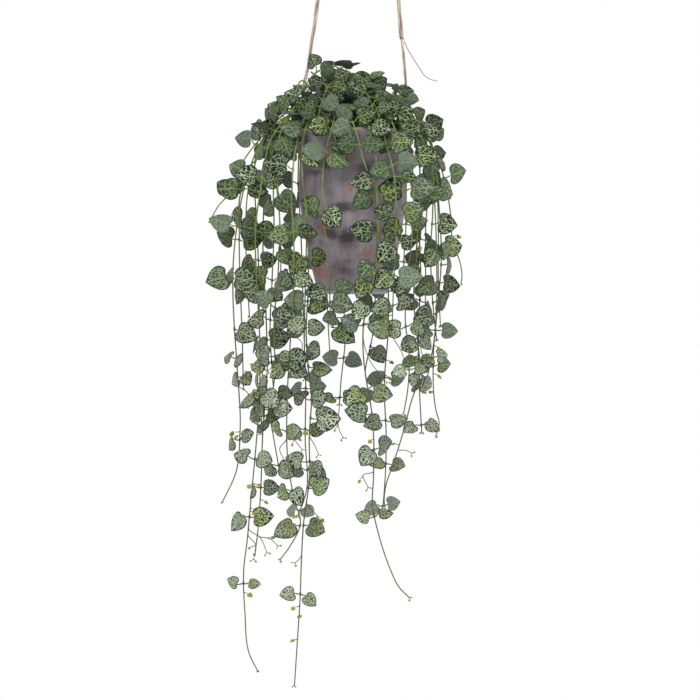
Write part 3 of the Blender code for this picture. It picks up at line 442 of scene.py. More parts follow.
RIGHT_VINES = (
    Vine((48, -22, 20), ((66, -34, 6), (76, -38, 30), (80, -36, 60), (82, -34, 95), (83, -32, 130),
         (83, -30, 170), (81, -28, 205), (76, -26, 236), (70, -26, 262)), ((4, 21), (33, 22), (62, 22),
         (94, 21), (122, 18), (150, 21), (184, 20), (228, 15)), 25, 20),
    Vine((52, -8, 16), ((74, -14, 2), (82, -16, 40), (86, -16, 80), (88, -14, 130), (84, -12, 180),
         (80, -12, 230), (83, -12, 280), (86, -12, 292), (82, -12, 306)), ((20, 19), (52, 20), (84, 21),
         (116, 20), (148, 21), (190, 20), (236, 15))),
    Vine((50, 6, 22), ((76, 6, 8), (92, 4, 50), (98, 2, 85), (100, 0, 112), (106, -2, 128), (109, -2, 143),
         (108, -2, 154)), ((20, 18), (48, 20), (78, 20), (106, 18))),
    Vine((44, -34, 16), ((62, -52, 10), (66, -58, 50), (64, -58, 92), (62, -54, 130), (60, -50, 170),
         (64, -44, 210), (66, -40, 245), (58, -38, 269), (51, -36, 296), (46, -34, 313), (38, -33, 337),
         (33, -32, 352), (31, -32, 368), (33, -32, 382)), ((38, 23), (66, 21), (102, 22), (142, 22),
         (176, 18), (208, 15), (250, 16))),
    Vine((38, -44, 12), ((52, -62, 22), (56, -68, 60), (54, -66, 110), (50, -60, 150), (48, -56, 190),
         (52, -50, 226), (50, -48, 262), (46, -46, 284)), ((48, 20), (82, 20), (120, 20), (158, 20),
         (196, 18), (238, 14))),
    Vine((54, 20, 14), ((76, 24, 8), (84, 26, 50), (86, 24, 100), (86, 20, 150), (88, 16, 196)), ((20, 20),
         (52, 20), (84, 20), (118, 20), (152, 19), (184, 17))),
    Vine((40, -12, 34), ((62, -22, 18), (72, -26, 40), (72, -26, 80), (70, -24, 120), (72, -22, 170),
         (76, -20, 210)), ((30, 19), (64, 20), (98, 19), (132, 20), (168, 18), (200, 15))),
)

CROWN_VINES = (
    Vine((-22, -8, 64), ((-36, -14, -58), (-50, -20, -40), (-62, -24, -20)), (), 19, 21, 4),
    Vine((-8, -8, 58), ((6, -16, -54), (20, -24, -42), (32, -34, -24)), (), 19, 21, 4),
    Vine((20, 8, 44), ((34, 10, -40), (48, 14, -28), (62, 16, -6)), (), 20, 19, 4),
    Vine((-30, 16, 46), ((-46, 22, -38), (-60, 26, -22), (-70, 30, 0)), (), 20, 20, 4),
    Vine((0, 24, 52), ((4, 42, -40), (8, 58, -20), (10, 68, 4)), (), 20, 21, 4),
    Vine((-20, -26, 46), ((-26, -44, -38), (-32, -58, -20), (-36, -66, 0)), (), 20, 21, 4),
    Vine((8, -28, 42), ((14, -44, -34), (20, -58, -16), (22, -66, 4)), (), 20, 20, 4),
    Vine((36, -16, 36), ((50, -26, -28), (60, -36, -12), (66, -42, 8)), (), 20, 19, 4),
)


@dataclass(frozen=True)
class BackRow:
    """The stems that hang behind the pot, by a rule with a seeded draw."""

    count: int = 12
    first_angle: float = 22.0
    last_angle: float = 160.0
    lengths: tuple = (150.0, 290.0, 210.0, 380.0, 250.0)
    inward: float = 0.03
    seed: int = 100

    def vine(self, index: int) -> Vine:
        """Draws one of them.

        Args:
            index: Its number in the row.

        Returns:
            The stem.
        """
        rng = Random(self.seed + index)
        share = index / (self.count - 1)
        span = self.last_angle - self.first_angle
        angle = radians(self.first_angle + span * share + rng.uniform(-3, 3))
        reach = 70.0 + 20.0 * (index % 3) + rng.uniform(-3, 3)
        length = self.lengths[index % len(self.lengths)] + rng.uniform(-15, 15)

        def around(radius: float, drop: float, swing: float = 0.0) -> tuple:
            """A point round the pot's axis, at an angle a little off the stem's own."""
            turned = angle + radians(swing)
            return radius * cos(turned), radius * sin(turned), drop

        right, back, _ = around(42.0, 0.0)
        hang = [around(reach - 6, 2), around(reach, 40)]
        drop = 90.0
        while drop < length:
            hang.append(around(reach - self.inward * drop, drop, rng.uniform(-3, 3)))
            drop += 55.0
        hang.append(around(reach - self.inward * length + 4, length, rng.uniform(-4, 4)))
        return Vine((right, back, 16.0 + 8.0 * (index % 3)), tuple(hang), (), 43.0, 21.0, 4)


@dataclass(frozen=True)
class PlainLeaf:
    """A leaf of the plain solids: its half outlines from notch to tip as shares of its width, and sizes."""

    large: tuple = ((0.24, -0.13, -0.03), (0.50, 0.12, -0.09), (0.41, 0.54, -0.08), (0.0, 0.90, -0.07))
    small: tuple = ((0.32, -0.16, -0.04), (0.50, 0.30, -0.09), (0.0, 0.88, -0.05))
    large_width: float = 23.0
    notch_half_width: float = 0.5
    thickness: float = 1.0
    clearance: float = 0.5
    middle: float = 0.42


@dataclass
class Leaf:
    """One leaf where it hangs, in metres: its petiole's root, and its blade's place, frame and width."""

    root: Vector
    base: Vector
    axis: Vector
    across: Vector
    normal: Vector
    width: float

    def faces(self, plain: PlainLeaf, thickness: float, grow: float = 0.0) -> tuple:
        """Its upper and lower plain outlines in metres, from one side of the notch round the tip.

        Args:
            plain: The plain leaf's form.
            thickness: The blade's thickness.
            grow: How far the outline is moved outwards.

        Returns:
            The points of the upper and of the lower face.
        """
        half = plain.large if self.width >= plain.large_width * MM else plain.small
        right = [(plain.notch_half_width * MM / self.width, 0.0, 0.0), *half]
        shares = [(-x, y, fall) for x, y, fall in right] + right[-2::-1]
        scale = 1 + 2 * grow / self.width
        upper, lower = [], []
        for x, y, fall in shares:
            ahead = plain.middle + (y - plain.middle) * scale
            shape = self.across * (x * scale) + self.axis * ahead + self.normal * fall
            point = self.base + shape * self.width
            upper.append(point + self.normal * (thickness / 2))
            lower.append(point - self.normal * (thickness / 2))
        return upper, lower

    def middle(self) -> Vector:
        """The middle of its blade."""
        return self.base + self.axis * (self.width * PlainLeaf.middle)

    def frame(self) -> Matrix:
        """The matrix that sets a leaf of width 1, its notch at the origin and its tip towards +Y, here.

        Returns:
            The matrix.
        """
        columns = (self.across * self.width, self.axis * self.width, self.normal * self.width)
        matrix = Matrix.Translation(self.base).to_4x4()
        for k, column in enumerate(columns):
            matrix.col[k] = (*column, 0.0)
        return matrix


@dataclass
class Node:
    """Where a pair of leaves grows: its draw, its stem's line, its place along it, its ways, its leaves."""

    rng: Random
    line: Line
    along: float
    facing: Vector
    forward: Vector
    leaves: list


@dataclass
class Stem:
    """One stem with what grows on it."""

    number: int
    vine: Vine
    line: Line
    nodes: list = field(default_factory=list)

    # millimetres between pairs and from the stem's end, and from the soil to the first pair
    PAIR_GAP = 9
    FIRST_PAIR = 22
    # the shares by which a short stem's leaves grow smaller and its pairs stop above those further down
    TAPER = 0.3
    LAST_PAIR = 0.7

    @property
    def name(self) -> str:
        """The name of its node."""
        return f"vine_{self.number + 1:02d}"

    def leaves(self) -> list:
        """The leaves that hang from it, from its root on."""
        return [leaf for node in self.nodes for leaf in node.leaves if leaf]

    def spots(self) -> list:
        """The places of its leaf pairs along it, with their leaves' width in millimetres.

        Returns:
            A length and a width for each pair.
        """
        vine, line = self.vine, self.line
        lower = [(Growth.drop(line, drop), width) for drop, width in vine.pairs]
        end = line.length - self.PAIR_GAP * MM
        if lower:
            end = lower[0][0] - self.LAST_PAIR * vine.upper * MM
        first = (PotForm.hole_depth + self.FIRST_PAIR) * MM
        count = max(1, round((end - first) / (vine.upper * MM)) + 1)
        upper = []
        for i in range(count):
            along = first + (end - first) * i / max(1, count - 1)
            upper.append((along, vine.upper_width * (1.0 if lower else 1.0 - self.TAPER * i / count)))
        found = []
        for along, width in [*upper, *lower]:
            along = min(along, line.length - self.PAIR_GAP * MM)
            if not found or along > found[-1][0] + self.PAIR_GAP * MM:
                found.append((along, width))
        return found

    def is_bare(self, order: int, height: float) -> bool:
        """Whether a place on its dense upper part carries no pair in the plain solids."""
        dense = (PotForm.rim_z - Growth.DENSE_DROP) * MM
        return 5 * (self.number + order) % 9 >= self.vine.leafy and height > dense


class Layer(Enum):
    """The order in which leaves are hung: the plain solids' own, those between, and more on the crown."""

    PLAIN = 0
    BETWEEN = 1
    CROWN = 2


class Growth:
    """Where every stem and leaf hangs: first those of the plain solids, then those in the places between."""

    STEM_CLEARANCE = 3.6
    STEM_RADIUS = 0.95
    STEM_TRIES = 60
    STEM_SHIFT = 0.35
    STEM_ROOM = 2.2
    ROOT_SHARE = 0.75
    # drops below the rim: of the dense upper part, of leaves turned to the front, of the crown and its reach
    DENSE_DROP = 225.0
    FREE_DROP = 140.0
    CROWN_DROP = 22.0
    CROWN_REACH = 38.0
    # how far a pair leans to the front, and from where on a stem counts as standing behind
    FRONT_LEAN = 1.0
    TURNED_LEAN = 2.6
    SIDE_ON = 0.35
    # the draws of a leaf: its width, its petiole's lean and length, then angles in degrees
    LEAF_TRIES = 30
    WIDTH_SHARES = (0.97, 1.13)
    PETIOLE_LEAN = (-0.45, 0.25)
    PETIOLE_LENGTH = (5.5, 8.5)
    TURN_OF_PAIR = 30
    SWING = 22
    SWING_SPREAD = 42
    PITCH = (-22, 10)
    TILT_SPREAD = 19
    # the shares by which each further try widens the draws and makes the leaf smaller
    WIDENING = 0.06
    SHRINKING = 0.008
    LEAF_ROOM = 1.2
    # how straight on a petiole meets the notch, and how far from the side, more so from above or below
    AHEAD = 0.25
    BESIDE = 0.95
    RAISED = 0.4
    # leaves whose middles lie further apart than this share of their widths and a gap can't touch
    NEAR_SHARE = 0.6
    NEAR_GAP = 9
    # a further leaf: its stem's points that are looked at and how far they may be, its tries on each side,
    # and its distance from other pairs
    POINT_STEP = 3
    FILL_REACH = 21.0
    FILL_TRIES = 6
    NODE_GAP = 5.0
    # right of the pot's axis, drop below the rim, radius: no leaf of the scene alone hangs there
    CLEAR_PLACES = ((93, 186, 13), (-103, 17, 9), (10, -59, 9), (-33, -67, 8), (36, -45, 7), (-56, -49, 8),
                    (-54, 213, 9), (76, 167, 9), (60, 164, 8), (10, 213, 8))
    # right of the pot's axis, drop below the rim, width: one more leaf hangs there
    FILL_PLACES = ((-18, 172, 22), (7, 181, 20), (-16, 207, 24), (22, 202, 24), (-106, 204, 22),
                   (-74, 207, 22), (93, 93, 22), (97, 133, 22), (91, 168, 16), (-85, 82, 18), (-67, 129, 18),
                   (57, 55, 18), (-45, 231, 24), (-29, 238, 20), (-23, 284, 26), (-1, 280, 24),
                   (-34, 352, 22), (-66, 395, 24), (58, 229, 18))

    def __init__(self, pot: PotForm, sling: SlingForm, vines: list) -> None:
        """The stems settled and the leaves hung, clear of the pot, the sling and each other.

        Args:
            pot: The pot that the stems grow in.
            sling: The sling between them.
            vines: Every stem to settle.
        """
        self.pot = pot
        self.plain = PlainLeaf()
        self.cord = smooth_curve(sling.route(pot))
        self.cord_radius = sling.diameter / 2
        self.stems = self.settle(vines)
        self.standing = self.standing_bodies()
        self.placed = []
        for layer in Layer:
            self.hang_leaves(layer)
        for number, (right, drop, width) in enumerate(self.FILL_PLACES):
            self.fill_place(pot.place(right, 0.0, -drop), width * MM, Random(9000 + number))
        for stem in self.stems:
            stem.nodes.sort(key=lambda node: node.along)

    @staticmethod
    def drop(line: Line, below_rim: float) -> float:
        """Finds a drop below the rim.

        Args:
            line: The stem's centre line.
            below_rim: The drop.

        Returns:
            The length along the line at which it last passes there.
        """
        level = (PotForm.rim_z - below_rim) * MM
        for i in range(len(line.points) - 2, -1, -1):
            if line.points[i].z >= level:
                return line.along[i]
        return 0.0

    def route(self, vine: Vine, site: tuple, shift: tuple) -> list:
        """A stem's centre line from the bottom of its hole to its tip.

        Args:
            vine: The stem's own points.
            site: Where it is rooted.
            shift: How far its points over and beyond the mouth are moved, right, back and up.

        Returns:
            Points about a millimetre apart, in metres.
        """
        place, depth = self.pot.place, self.pot.hole_depth
        surface = self.pot.soil_at(hypot(*site)) - self.pot.height
        root = [place(*site, surface - depth + step) for step in range(int(depth) + 1)]
        over = place(*(part + moved for part, moved in zip(vine.over, shift)))
        points = [place(*site, surface + 1.5), over]
        for right, back, drop in vine.hang:
            points.append(place(right + shift[0], back + shift[1], shift[2] / 2 - drop))
        return root + smooth_curve(points, Vector((0, 0, 1)))

    def settle(self, vines: list) -> list:
        """Roots every stem, moved a little where it is tight to the pot, the sling or another.

        Args:
            vines: The stems in the order in which they take their room.

        Returns:
            The stems with their centre lines.
        """
        free = self.pot.root_sites(len(vines))
        taken = [(point, self.cord_radius + self.STEM_RADIUS + 1.0) for point in self.cord]
        stems = []
        for number, vine in enumerate(vines):
            rng = Random(number)
            wish = (vine.over[0] * self.ROOT_SHARE, vine.over[1] * self.ROOT_SHARE)
            site = min(free, key=lambda place_on_soil: dist(place_on_soil, wish))
            free.remove(site)
            best, best_faults = None, 10 ** 9
            for attempt in range(self.STEM_TRIES):
                reach = self.STEM_SHIFT * attempt
                shift = (rng.uniform(-reach, reach), rng.uniform(-reach, reach),
                         rng.uniform(-reach, reach) * 0.5)
                route = self.route(vine, site, shift)
                faults = self.faults(route, taken)
                if faults < best_faults:
                    best, best_faults = route, faults
                if not faults:
                    break
            stems.append(Stem(number, vine, Line(best)))
            taken += [(point, self.STEM_CLEARANCE) for point in best]
        return stems

    def faults(self, route: list, taken: list) -> int:
        """Counts what is wrong with a stem's route.

        Args:
            route: The points of its centre line.
            taken: Points of what stands there already, each with the room round it in millimetres.

        Returns:
            How many places of the route lie too close to the pot or to one of those points.
        """
        start = int(self.pot.hole_depth) + 4
        faults = sum(not self.pot.clears(point, self.STEM_ROOM) for point in route[start:])
        if faults > 3:
            return faults
        low = [min(p[axis] for p in route) - 4 * MM for axis in range(3)]
        high = [max(p[axis] for p in route) + 4 * MM for axis in range(3)]
        near = [(p, room * MM) for p, room in taken
                if low[0] < p.x < high[0] and low[1] < p.y < high[1] and low[2] < p.z < high[2]]
        for point in route[start::2]:
            for other, room in near:
                if abs(point.z - other.z) < room and (point - other).length < room:
                    faults += 1
                    break
        return faults

    @staticmethod
    def blade_triangles(count: int) -> list:
        """How an outline of count points is split into triangles, with an edge from the notch to the tip.

        Args:
            count: The points of the outline.

        Returns:
            Three numbers for each triangle.
        """
        tip = count // 2
        left = [(0, i, i + 1) for i in range(1, tip)]
        right = [(count - 1, i, i + 1) for i in range(tip, count - 2)]
        return [*left, *right, (0, tip, count - 1)]

    @staticmethod
    def strip(first: int, rings: int, sides: int) -> list:
        """Closes the faces between rings of points.

        Args:
            first: The number of the first point of the first ring.
            rings: How many rings follow each other.
            sides: How many points each ring has.

        Returns:
            The triangles, by the numbers of their points.
        """
        triangles = []
        for start in range(first, first + (rings - 1) * sides, sides):
            for k in range(sides):
                a, b = start + k, start + (k + 1) % sides
                triangles += [(a, b, b + sides), (a, b + sides, a + sides)]
        return triangles

    def leaf_body(self, leaf: Leaf) -> BVHTree:
        """The room that a leaf takes, its petiole beyond the stem included.

        Args:
            leaf: The leaf where it hangs.

        Returns:
            A plain closed body round the blade and one round the petiole.
        """
        room = self.plain.clearance
        upper, lower = leaf.faces(self.plain, (self.plain.thickness + 2 * room) * MM, room * MM)
        count = len(upper)
        points = upper + lower
        triangles = self.blade_triangles(count)
        triangles += [(a + count, b + count, c + count) for a, b, c in triangles]
        triangles += self.strip(0, 2, count) + self.strip(2 * count, 2, 3)
        way = leaf.base - leaf.root
        start = leaf.root + way * min(0.8, 2.3 * MM / way.length)
        side = way.cross(leaf.normal)
        side = (side if side.length > 1e-9 else way.orthogonal()).normalized() * (1.0 * MM)
        rise = way.cross(side).normalized() * (1.0 * MM)
        for centre in (start, leaf.base):
            points += [centre + side, centre - side * 0.5 + rise * 0.87, centre - side * 0.5 - rise * 0.87]
        return BVHTree.FromPolygons(points, triangles, all_triangles=True)

    @staticmethod
    def tube(points: list, radius: float, sides: int, step: int) -> list:
        """A plain tube round a centre line.

        Args:
            points: The centre line.
            radius: The tube's radius in metres.
            sides: How many sides it has.
            step: Which of the points have a ring: every one of so many, and the last.

        Returns:
            The points of its rings, one ring after the other.
        """
        picked = points[::step] if (len(points) - 1) % step == 0 else [*points[::step], points[-1]]
        vertices = []
        for i, point in enumerate(picked):
            way = (picked[min(i + 1, len(picked) - 1)] - picked[max(i - 1, 0)]).normalized()
            side = way.orthogonal().normalized() * radius
            for k in range(sides):
                vertices.append(point + Matrix.Rotation(2 * pi * k / sides, 3, way) @ side)
        return vertices

    def standing_bodies(self) -> BVHTree:
        """The room that the stems and the sling take, and the pot's wall.

        Returns:
            A search tree of their faces.
        """
        vertices, triangles = [], []
        tubes = [(stem.line.points, (self.STEM_RADIUS + 0.6) * MM, 4, 5) for stem in self.stems]
        tubes += [(self.cord, (self.cord_radius + 0.9) * MM, 6, 4)]
        for points, radius, sides, step in tubes:
            rings = self.tube(points, radius, sides, step)
            triangles += self.strip(len(vertices), len(rings) // sides, sides)
            vertices += rings
        profile, sides = [*self.pot.outer, *self.pot.inner], self.pot.plain_sides
        triangles += self.strip(len(vertices), len(profile), sides)
        for height, radius in profile:
            for k in range(sides):
                angle = 2 * pi * k / sides
                vertices.append(self.pot.place(radius * cos(angle), radius * sin(angle),
                                               height - self.pot.height))
        return BVHTree.FromPolygons(vertices, triangles, all_triangles=True)

    def outward(self, point: Vector) -> Vector:
        """The direction out of the plant at a point: level beside the pot, turned up over its mouth."""
        centre = Vector((self.pot.axis_x * MM, 0.0, min(point.z, (self.pot.rim_z - 10) * MM)))
        return (point - centre).normalized()

    def facing(self, point: Vector, turned: bool) -> Vector:
        """The way that a pair of leaves faces: outward, and more or less to the front.

        Args:
            point: Where the pair grows.
            turned: Whether a pair behind the pot turns to the front where it hangs free below.

        Returns:
            The direction.
        """
        out = self.outward(point)
        lean = self.FRONT_LEAN
        if out.y > self.SIDE_ON:
            lean = self.TURNED_LEAN if turned and point.z < (self.pot.rim_z - self.FREE_DROP) * MM else 0.0
        return (out - Vector((0, lean, 0))).normalized()

    def try_leaf(self, node: Node, slot: int, width: float, attempt: int) -> Leaf:
        """One way in which a leaf may hang from its node.

        Args:
            node: The node.
            slot: 0 or 1, the side of the stem.
            width: The leaf's width in metres.
            attempt: How many ways were tried before, which widens the draw.

        Returns:
            The leaf, placed.
        """
        rng, line = node.rng, node.line
        centre, along = line.at(node.along), line.tangent(node.along)
        beside = along.cross(node.forward).normalized() * (1 - 2 * slot)
        facet = (node.forward * 0.5 + beside * 0.866).normalized()
        spread = 1.0 + attempt * self.WIDENING
        way = (facet + along * rng.uniform(*self.PETIOLE_LEAN) * spread).normalized()
        base = centre + way * (rng.uniform(*self.PETIOLE_LENGTH) * MM)
        out = node.facing
        down = Vector((0, 0, -1)) - out * -out.z + along * 0.25
        down = (down - out * down.dot(out)).normalized()
        sideways = (beside - down * beside.dot(down)).normalized()
        swing = radians(self.SWING + rng.uniform(-self.SWING_SPREAD, self.SWING_SPREAD) * spread)
        axis = sideways * cos(swing) + down * sin(swing)
        pitch = radians(rng.uniform(*self.PITCH) * spread)
        normal = (out - axis * out.dot(axis)).normalized()
        axis, normal = (axis * cos(pitch) + normal * sin(pitch),
                        normal * cos(pitch) - axis * sin(pitch))
        tilt = Matrix.Rotation(radians(rng.gauss(0, self.TILT_SPREAD) * spread), 3, axis)
        normal = tilt @ normal
        return Leaf(centre, base, axis, axis.cross(normal), normal, width * (1 - self.SHRINKING * attempt))

    def fits(self, leaf: Leaf, body: BVHTree) -> bool:
        """Checks a leaf against the pot, the stems, the sling and the leaves that hang already.

        Args:
            leaf: The leaf where it would hang.
            body: The room that it takes.

        Returns:
            Whether it stays clear of them all, and its petiole meets the notch from behind.
        """
        way = (leaf.base - leaf.root).normalized()
        ahead, beside, raised = way.dot(leaf.axis), way.dot(leaf.across), way.dot(leaf.normal)
        if ahead < self.AHEAD or abs(beside) > self.BESIDE * ahead + self.RAISED * abs(raised):
            return False
        upper, lower = leaf.faces(self.plain, self.plain.thickness * MM)
        centre = leaf.middle()
        if not all(self.pot.clears(point, self.LEAF_ROOM) for point in [*upper, *lower, centre]):
            return False
        if body.overlap(self.standing):
            return False
        for other_centre, other_width, other_body in self.placed:
            near = (leaf.width + other_width) * self.NEAR_SHARE + self.NEAR_GAP * MM
            if (centre - other_centre).length < near and body.overlap(other_body):
                return False
        return True

    def wanted(self, stem: Stem, layer: Layer) -> list:
        """The places on a stem that a layer's pairs take.

        Args:
            stem: The stem.
            layer: The layer to be hung.

        Returns:
            For each place a number, the length along the stem and the leaves' width.
        """
        spots = list(enumerate(stem.spots()))
        line = stem.line
        if layer is Layer.CROWN:
            low = (self.pot.rim_z - self.CROWN_DROP) * MM
            found = []
            for (order, first), (_, second) in zip(spots, spots[1:]):
                for part in (1, 2):
                    along = first[0] + (second[0] - first[0]) * part / 3
                    if line.at(along).z > low and abs(line.at(along).x) < self.CROWN_REACH * MM:
                        found.append((50 + 2 * order + part, along, second[1]))
            return found
        found = []
        for order, (along, width) in spots:
            height = line.at(along).z
            bare = stem.is_bare(order, height)
            below = height < (self.pot.rim_z - self.CROWN_DROP) * MM
            below = below or line.at(along).x > self.CROWN_REACH * MM
            sparse = below and (3 * stem.number + order) % 5 < 4
            if bare is (layer is Layer.BETWEEN) and not (bare and sparse):
                found.append((order, along, width))
        return found

    def hang_leaves(self, layer: Layer) -> None:
        """The leaves of one layer.

        Args:
            layer: The layer.
        """
        clear = () if layer is Layer.PLAIN else self.CLEAR_PLACES
        for stem in self.stems:
            for order, along, width in self.wanted(stem, layer):
                rng = Random(1000 * stem.number + order)
                node = self.node_at(rng, stem.line, along, (stem.number + 2 * order) % 3 < 2)
                for slot in (0, 1):
                    self.hang_leaf(node, slot, width * rng.uniform(*self.WIDTH_SHARES) * MM, clear)
                if any(node.leaves):
                    stem.nodes.append(node)

    def node_at(self, rng: Random, line: Line, along: float, turned: bool) -> Node:
        """A node without leaves yet.

        Args:
            rng: The draw for the pair.
            line: The stem's centre line.
            along: The length along it.
            turned: Whether a pair behind the pot turns to the front here.

        Returns:
            The node.
        """
        tangent, out = line.tangent(along), self.facing(line.at(along), turned)
        forward = (out - tangent * out.dot(tangent)).normalized()
        turn = radians(rng.uniform(-self.TURN_OF_PAIR, self.TURN_OF_PAIR))
        forward = Matrix.Rotation(turn, 3, tangent) @ forward
        return Node(rng, line, along, out, forward, [None, None])

    def hang_leaf(self, node: Node, slot: int, width: float, clear: tuple) -> None:
        """One leaf of a pair, where some try of it finds room.

        Args:
            node: The node that the leaf grows from.
            slot: 0 or 1, the side of the stem.
            width: The leaf's width in metres.
            clear: The places that stay free of it, right of the pot's axis, below the rim and their reach.
        """
        for attempt in range(self.LEAF_TRIES):
            leaf = self.try_leaf(node, slot, width, attempt)
            if any(self.away(leaf, self.pot.place(right, 0.0, -drop)) < reach * MM
                   for right, drop, reach in clear):
                continue
            body = self.leaf_body(leaf)
            if self.fits(leaf, body):
                self.keep(node, slot, leaf, body)
                return

    @staticmethod
    def away(leaf: Leaf, goal: Vector) -> float:
        """How far the middle of a leaf lies from a place, as seen from the front."""
        return hypot(leaf.middle().x - goal.x, leaf.middle().z - goal.z)

    def near(self, goal: Vector, reach: float) -> Iterator[tuple]:
        """Finds the places on all the stems near a place, as seen from the front.

        Args:
            goal: The place.
            reach: How far they may be, in metres.

        Yields:
            For each its distance, its stem, the length along the stem, and the point.
        """
        for stem in self.stems:
            for along, point in list(zip(stem.line.along, stem.line.points))[::self.POINT_STEP]:
                distance = hypot(point.x - goal.x, point.z - goal.z)
                if distance <= reach:
                    yield distance, stem, along, point

    def keep(self, node: Node, slot: int, leaf: Leaf, body: BVHTree) -> None:
        """A leaf hung for good."""
        node.leaves[slot] = leaf
        self.placed.append((leaf.middle(), leaf.width, body))

    def fill_place(self, goal: Vector, width: float, rng: Random) -> None:
        """One more leaf, on the stem from which it comes nearest to a place and finds room.

        Args:
            goal: Where the middle of the leaf is wanted, as seen from the front.
            width: The leaf's width in metres.
            rng: The draw for its tries.
        """
        best = None
        for _, stem, along, point in self.near(goal, self.FILL_REACH * MM):
            if any(abs(node.along - along) < self.NODE_GAP * MM for node in stem.nodes):
                continue
            node = self.node_at(rng, stem.line, along, True)
            for attempt in range(2 * self.FILL_TRIES):
                leaf = self.try_leaf(node, attempt % 2, width, attempt // 2)
                away = self.away(leaf, goal) + max(0.0, 0.1 * point.y)
                if best and away >= best[0]:
                    continue
                body = self.leaf_body(leaf)
                if self.fits(leaf, body):
                    best = (away, stem, node, leaf, body)
        if best and best[0] < 0.6 * width:
            _, stem, node, leaf, body = best
            self.keep(node, 0, leaf, body)
            stem.nodes.append(node)


def linear(red: float, green: float, blue: float) -> tuple:
    """A colour as it looks on a screen, 0 to 255, as the light that it gives back."""
    shares = [value / 255 for value in (red, green, blue)]
    return tuple(s / 12.92 if s <= 0.04045 else ((s + 0.055) / 1.055) ** 2.4 for s in shares)


class Value:
    """A number that changes over a surface: arithmetic on it adds Math nodes."""

    def __init__(self, shader: "Shader", socket: bpy.types.NodeSocket) -> None:
        """The output socket that carries the number, in its shader."""
        self.shader = shader
        self.socket = socket

    def __add__(self, other: object) -> "Value":
        """Their sum."""
        return self.shader.maths("ADD", self, other)

    def __sub__(self, other: object) -> "Value":
        """Their difference."""
        return self.shader.maths("SUBTRACT", self, other)

    def __rsub__(self, other: object) -> "Value":
        """Their difference, the other way round."""
        return self.shader.maths("SUBTRACT", other, self)

    def __mul__(self, other: object) -> "Value":
        """Their product."""
        return self.shader.maths("MULTIPLY", self, other)

    def __truediv__(self, other: object) -> "Value":
        """Their quotient."""
        return self.shader.maths("DIVIDE", self, other)

    def __abs__(self) -> "Value":
        """Its size without its sign."""
        return self.shader.maths("ABSOLUTE", self)

    __radd__ = __add__
    __rmul__ = __mul__

    def most(self, other: object) -> "Value":
        """The larger of the two."""
        return self.shader.maths("MAXIMUM", self, other)

    def least(self, other: object) -> "Value":
        """The smaller of the two."""
        return self.shader.maths("MINIMUM", self, other)

    def step(self, low: float, high: float) -> "Value":
        """0 below low, 1 above high and smooth between them.

        Args:
            low: Where it starts to rise.
            high: Where it ends.

        Returns:
            The value.
        """
        settings = {"interpolation_type": "SMOOTHSTEP"}
        sockets = {"Value": self, "From Min": low, "From Max": high}
        return self.shader.node("ShaderNodeMapRange", settings, sockets)

    def fall(self, low: float, high: float) -> "Value":
        """1 below low, 0 above high and smooth between them."""
        return 1.0 - self.step(low, high)


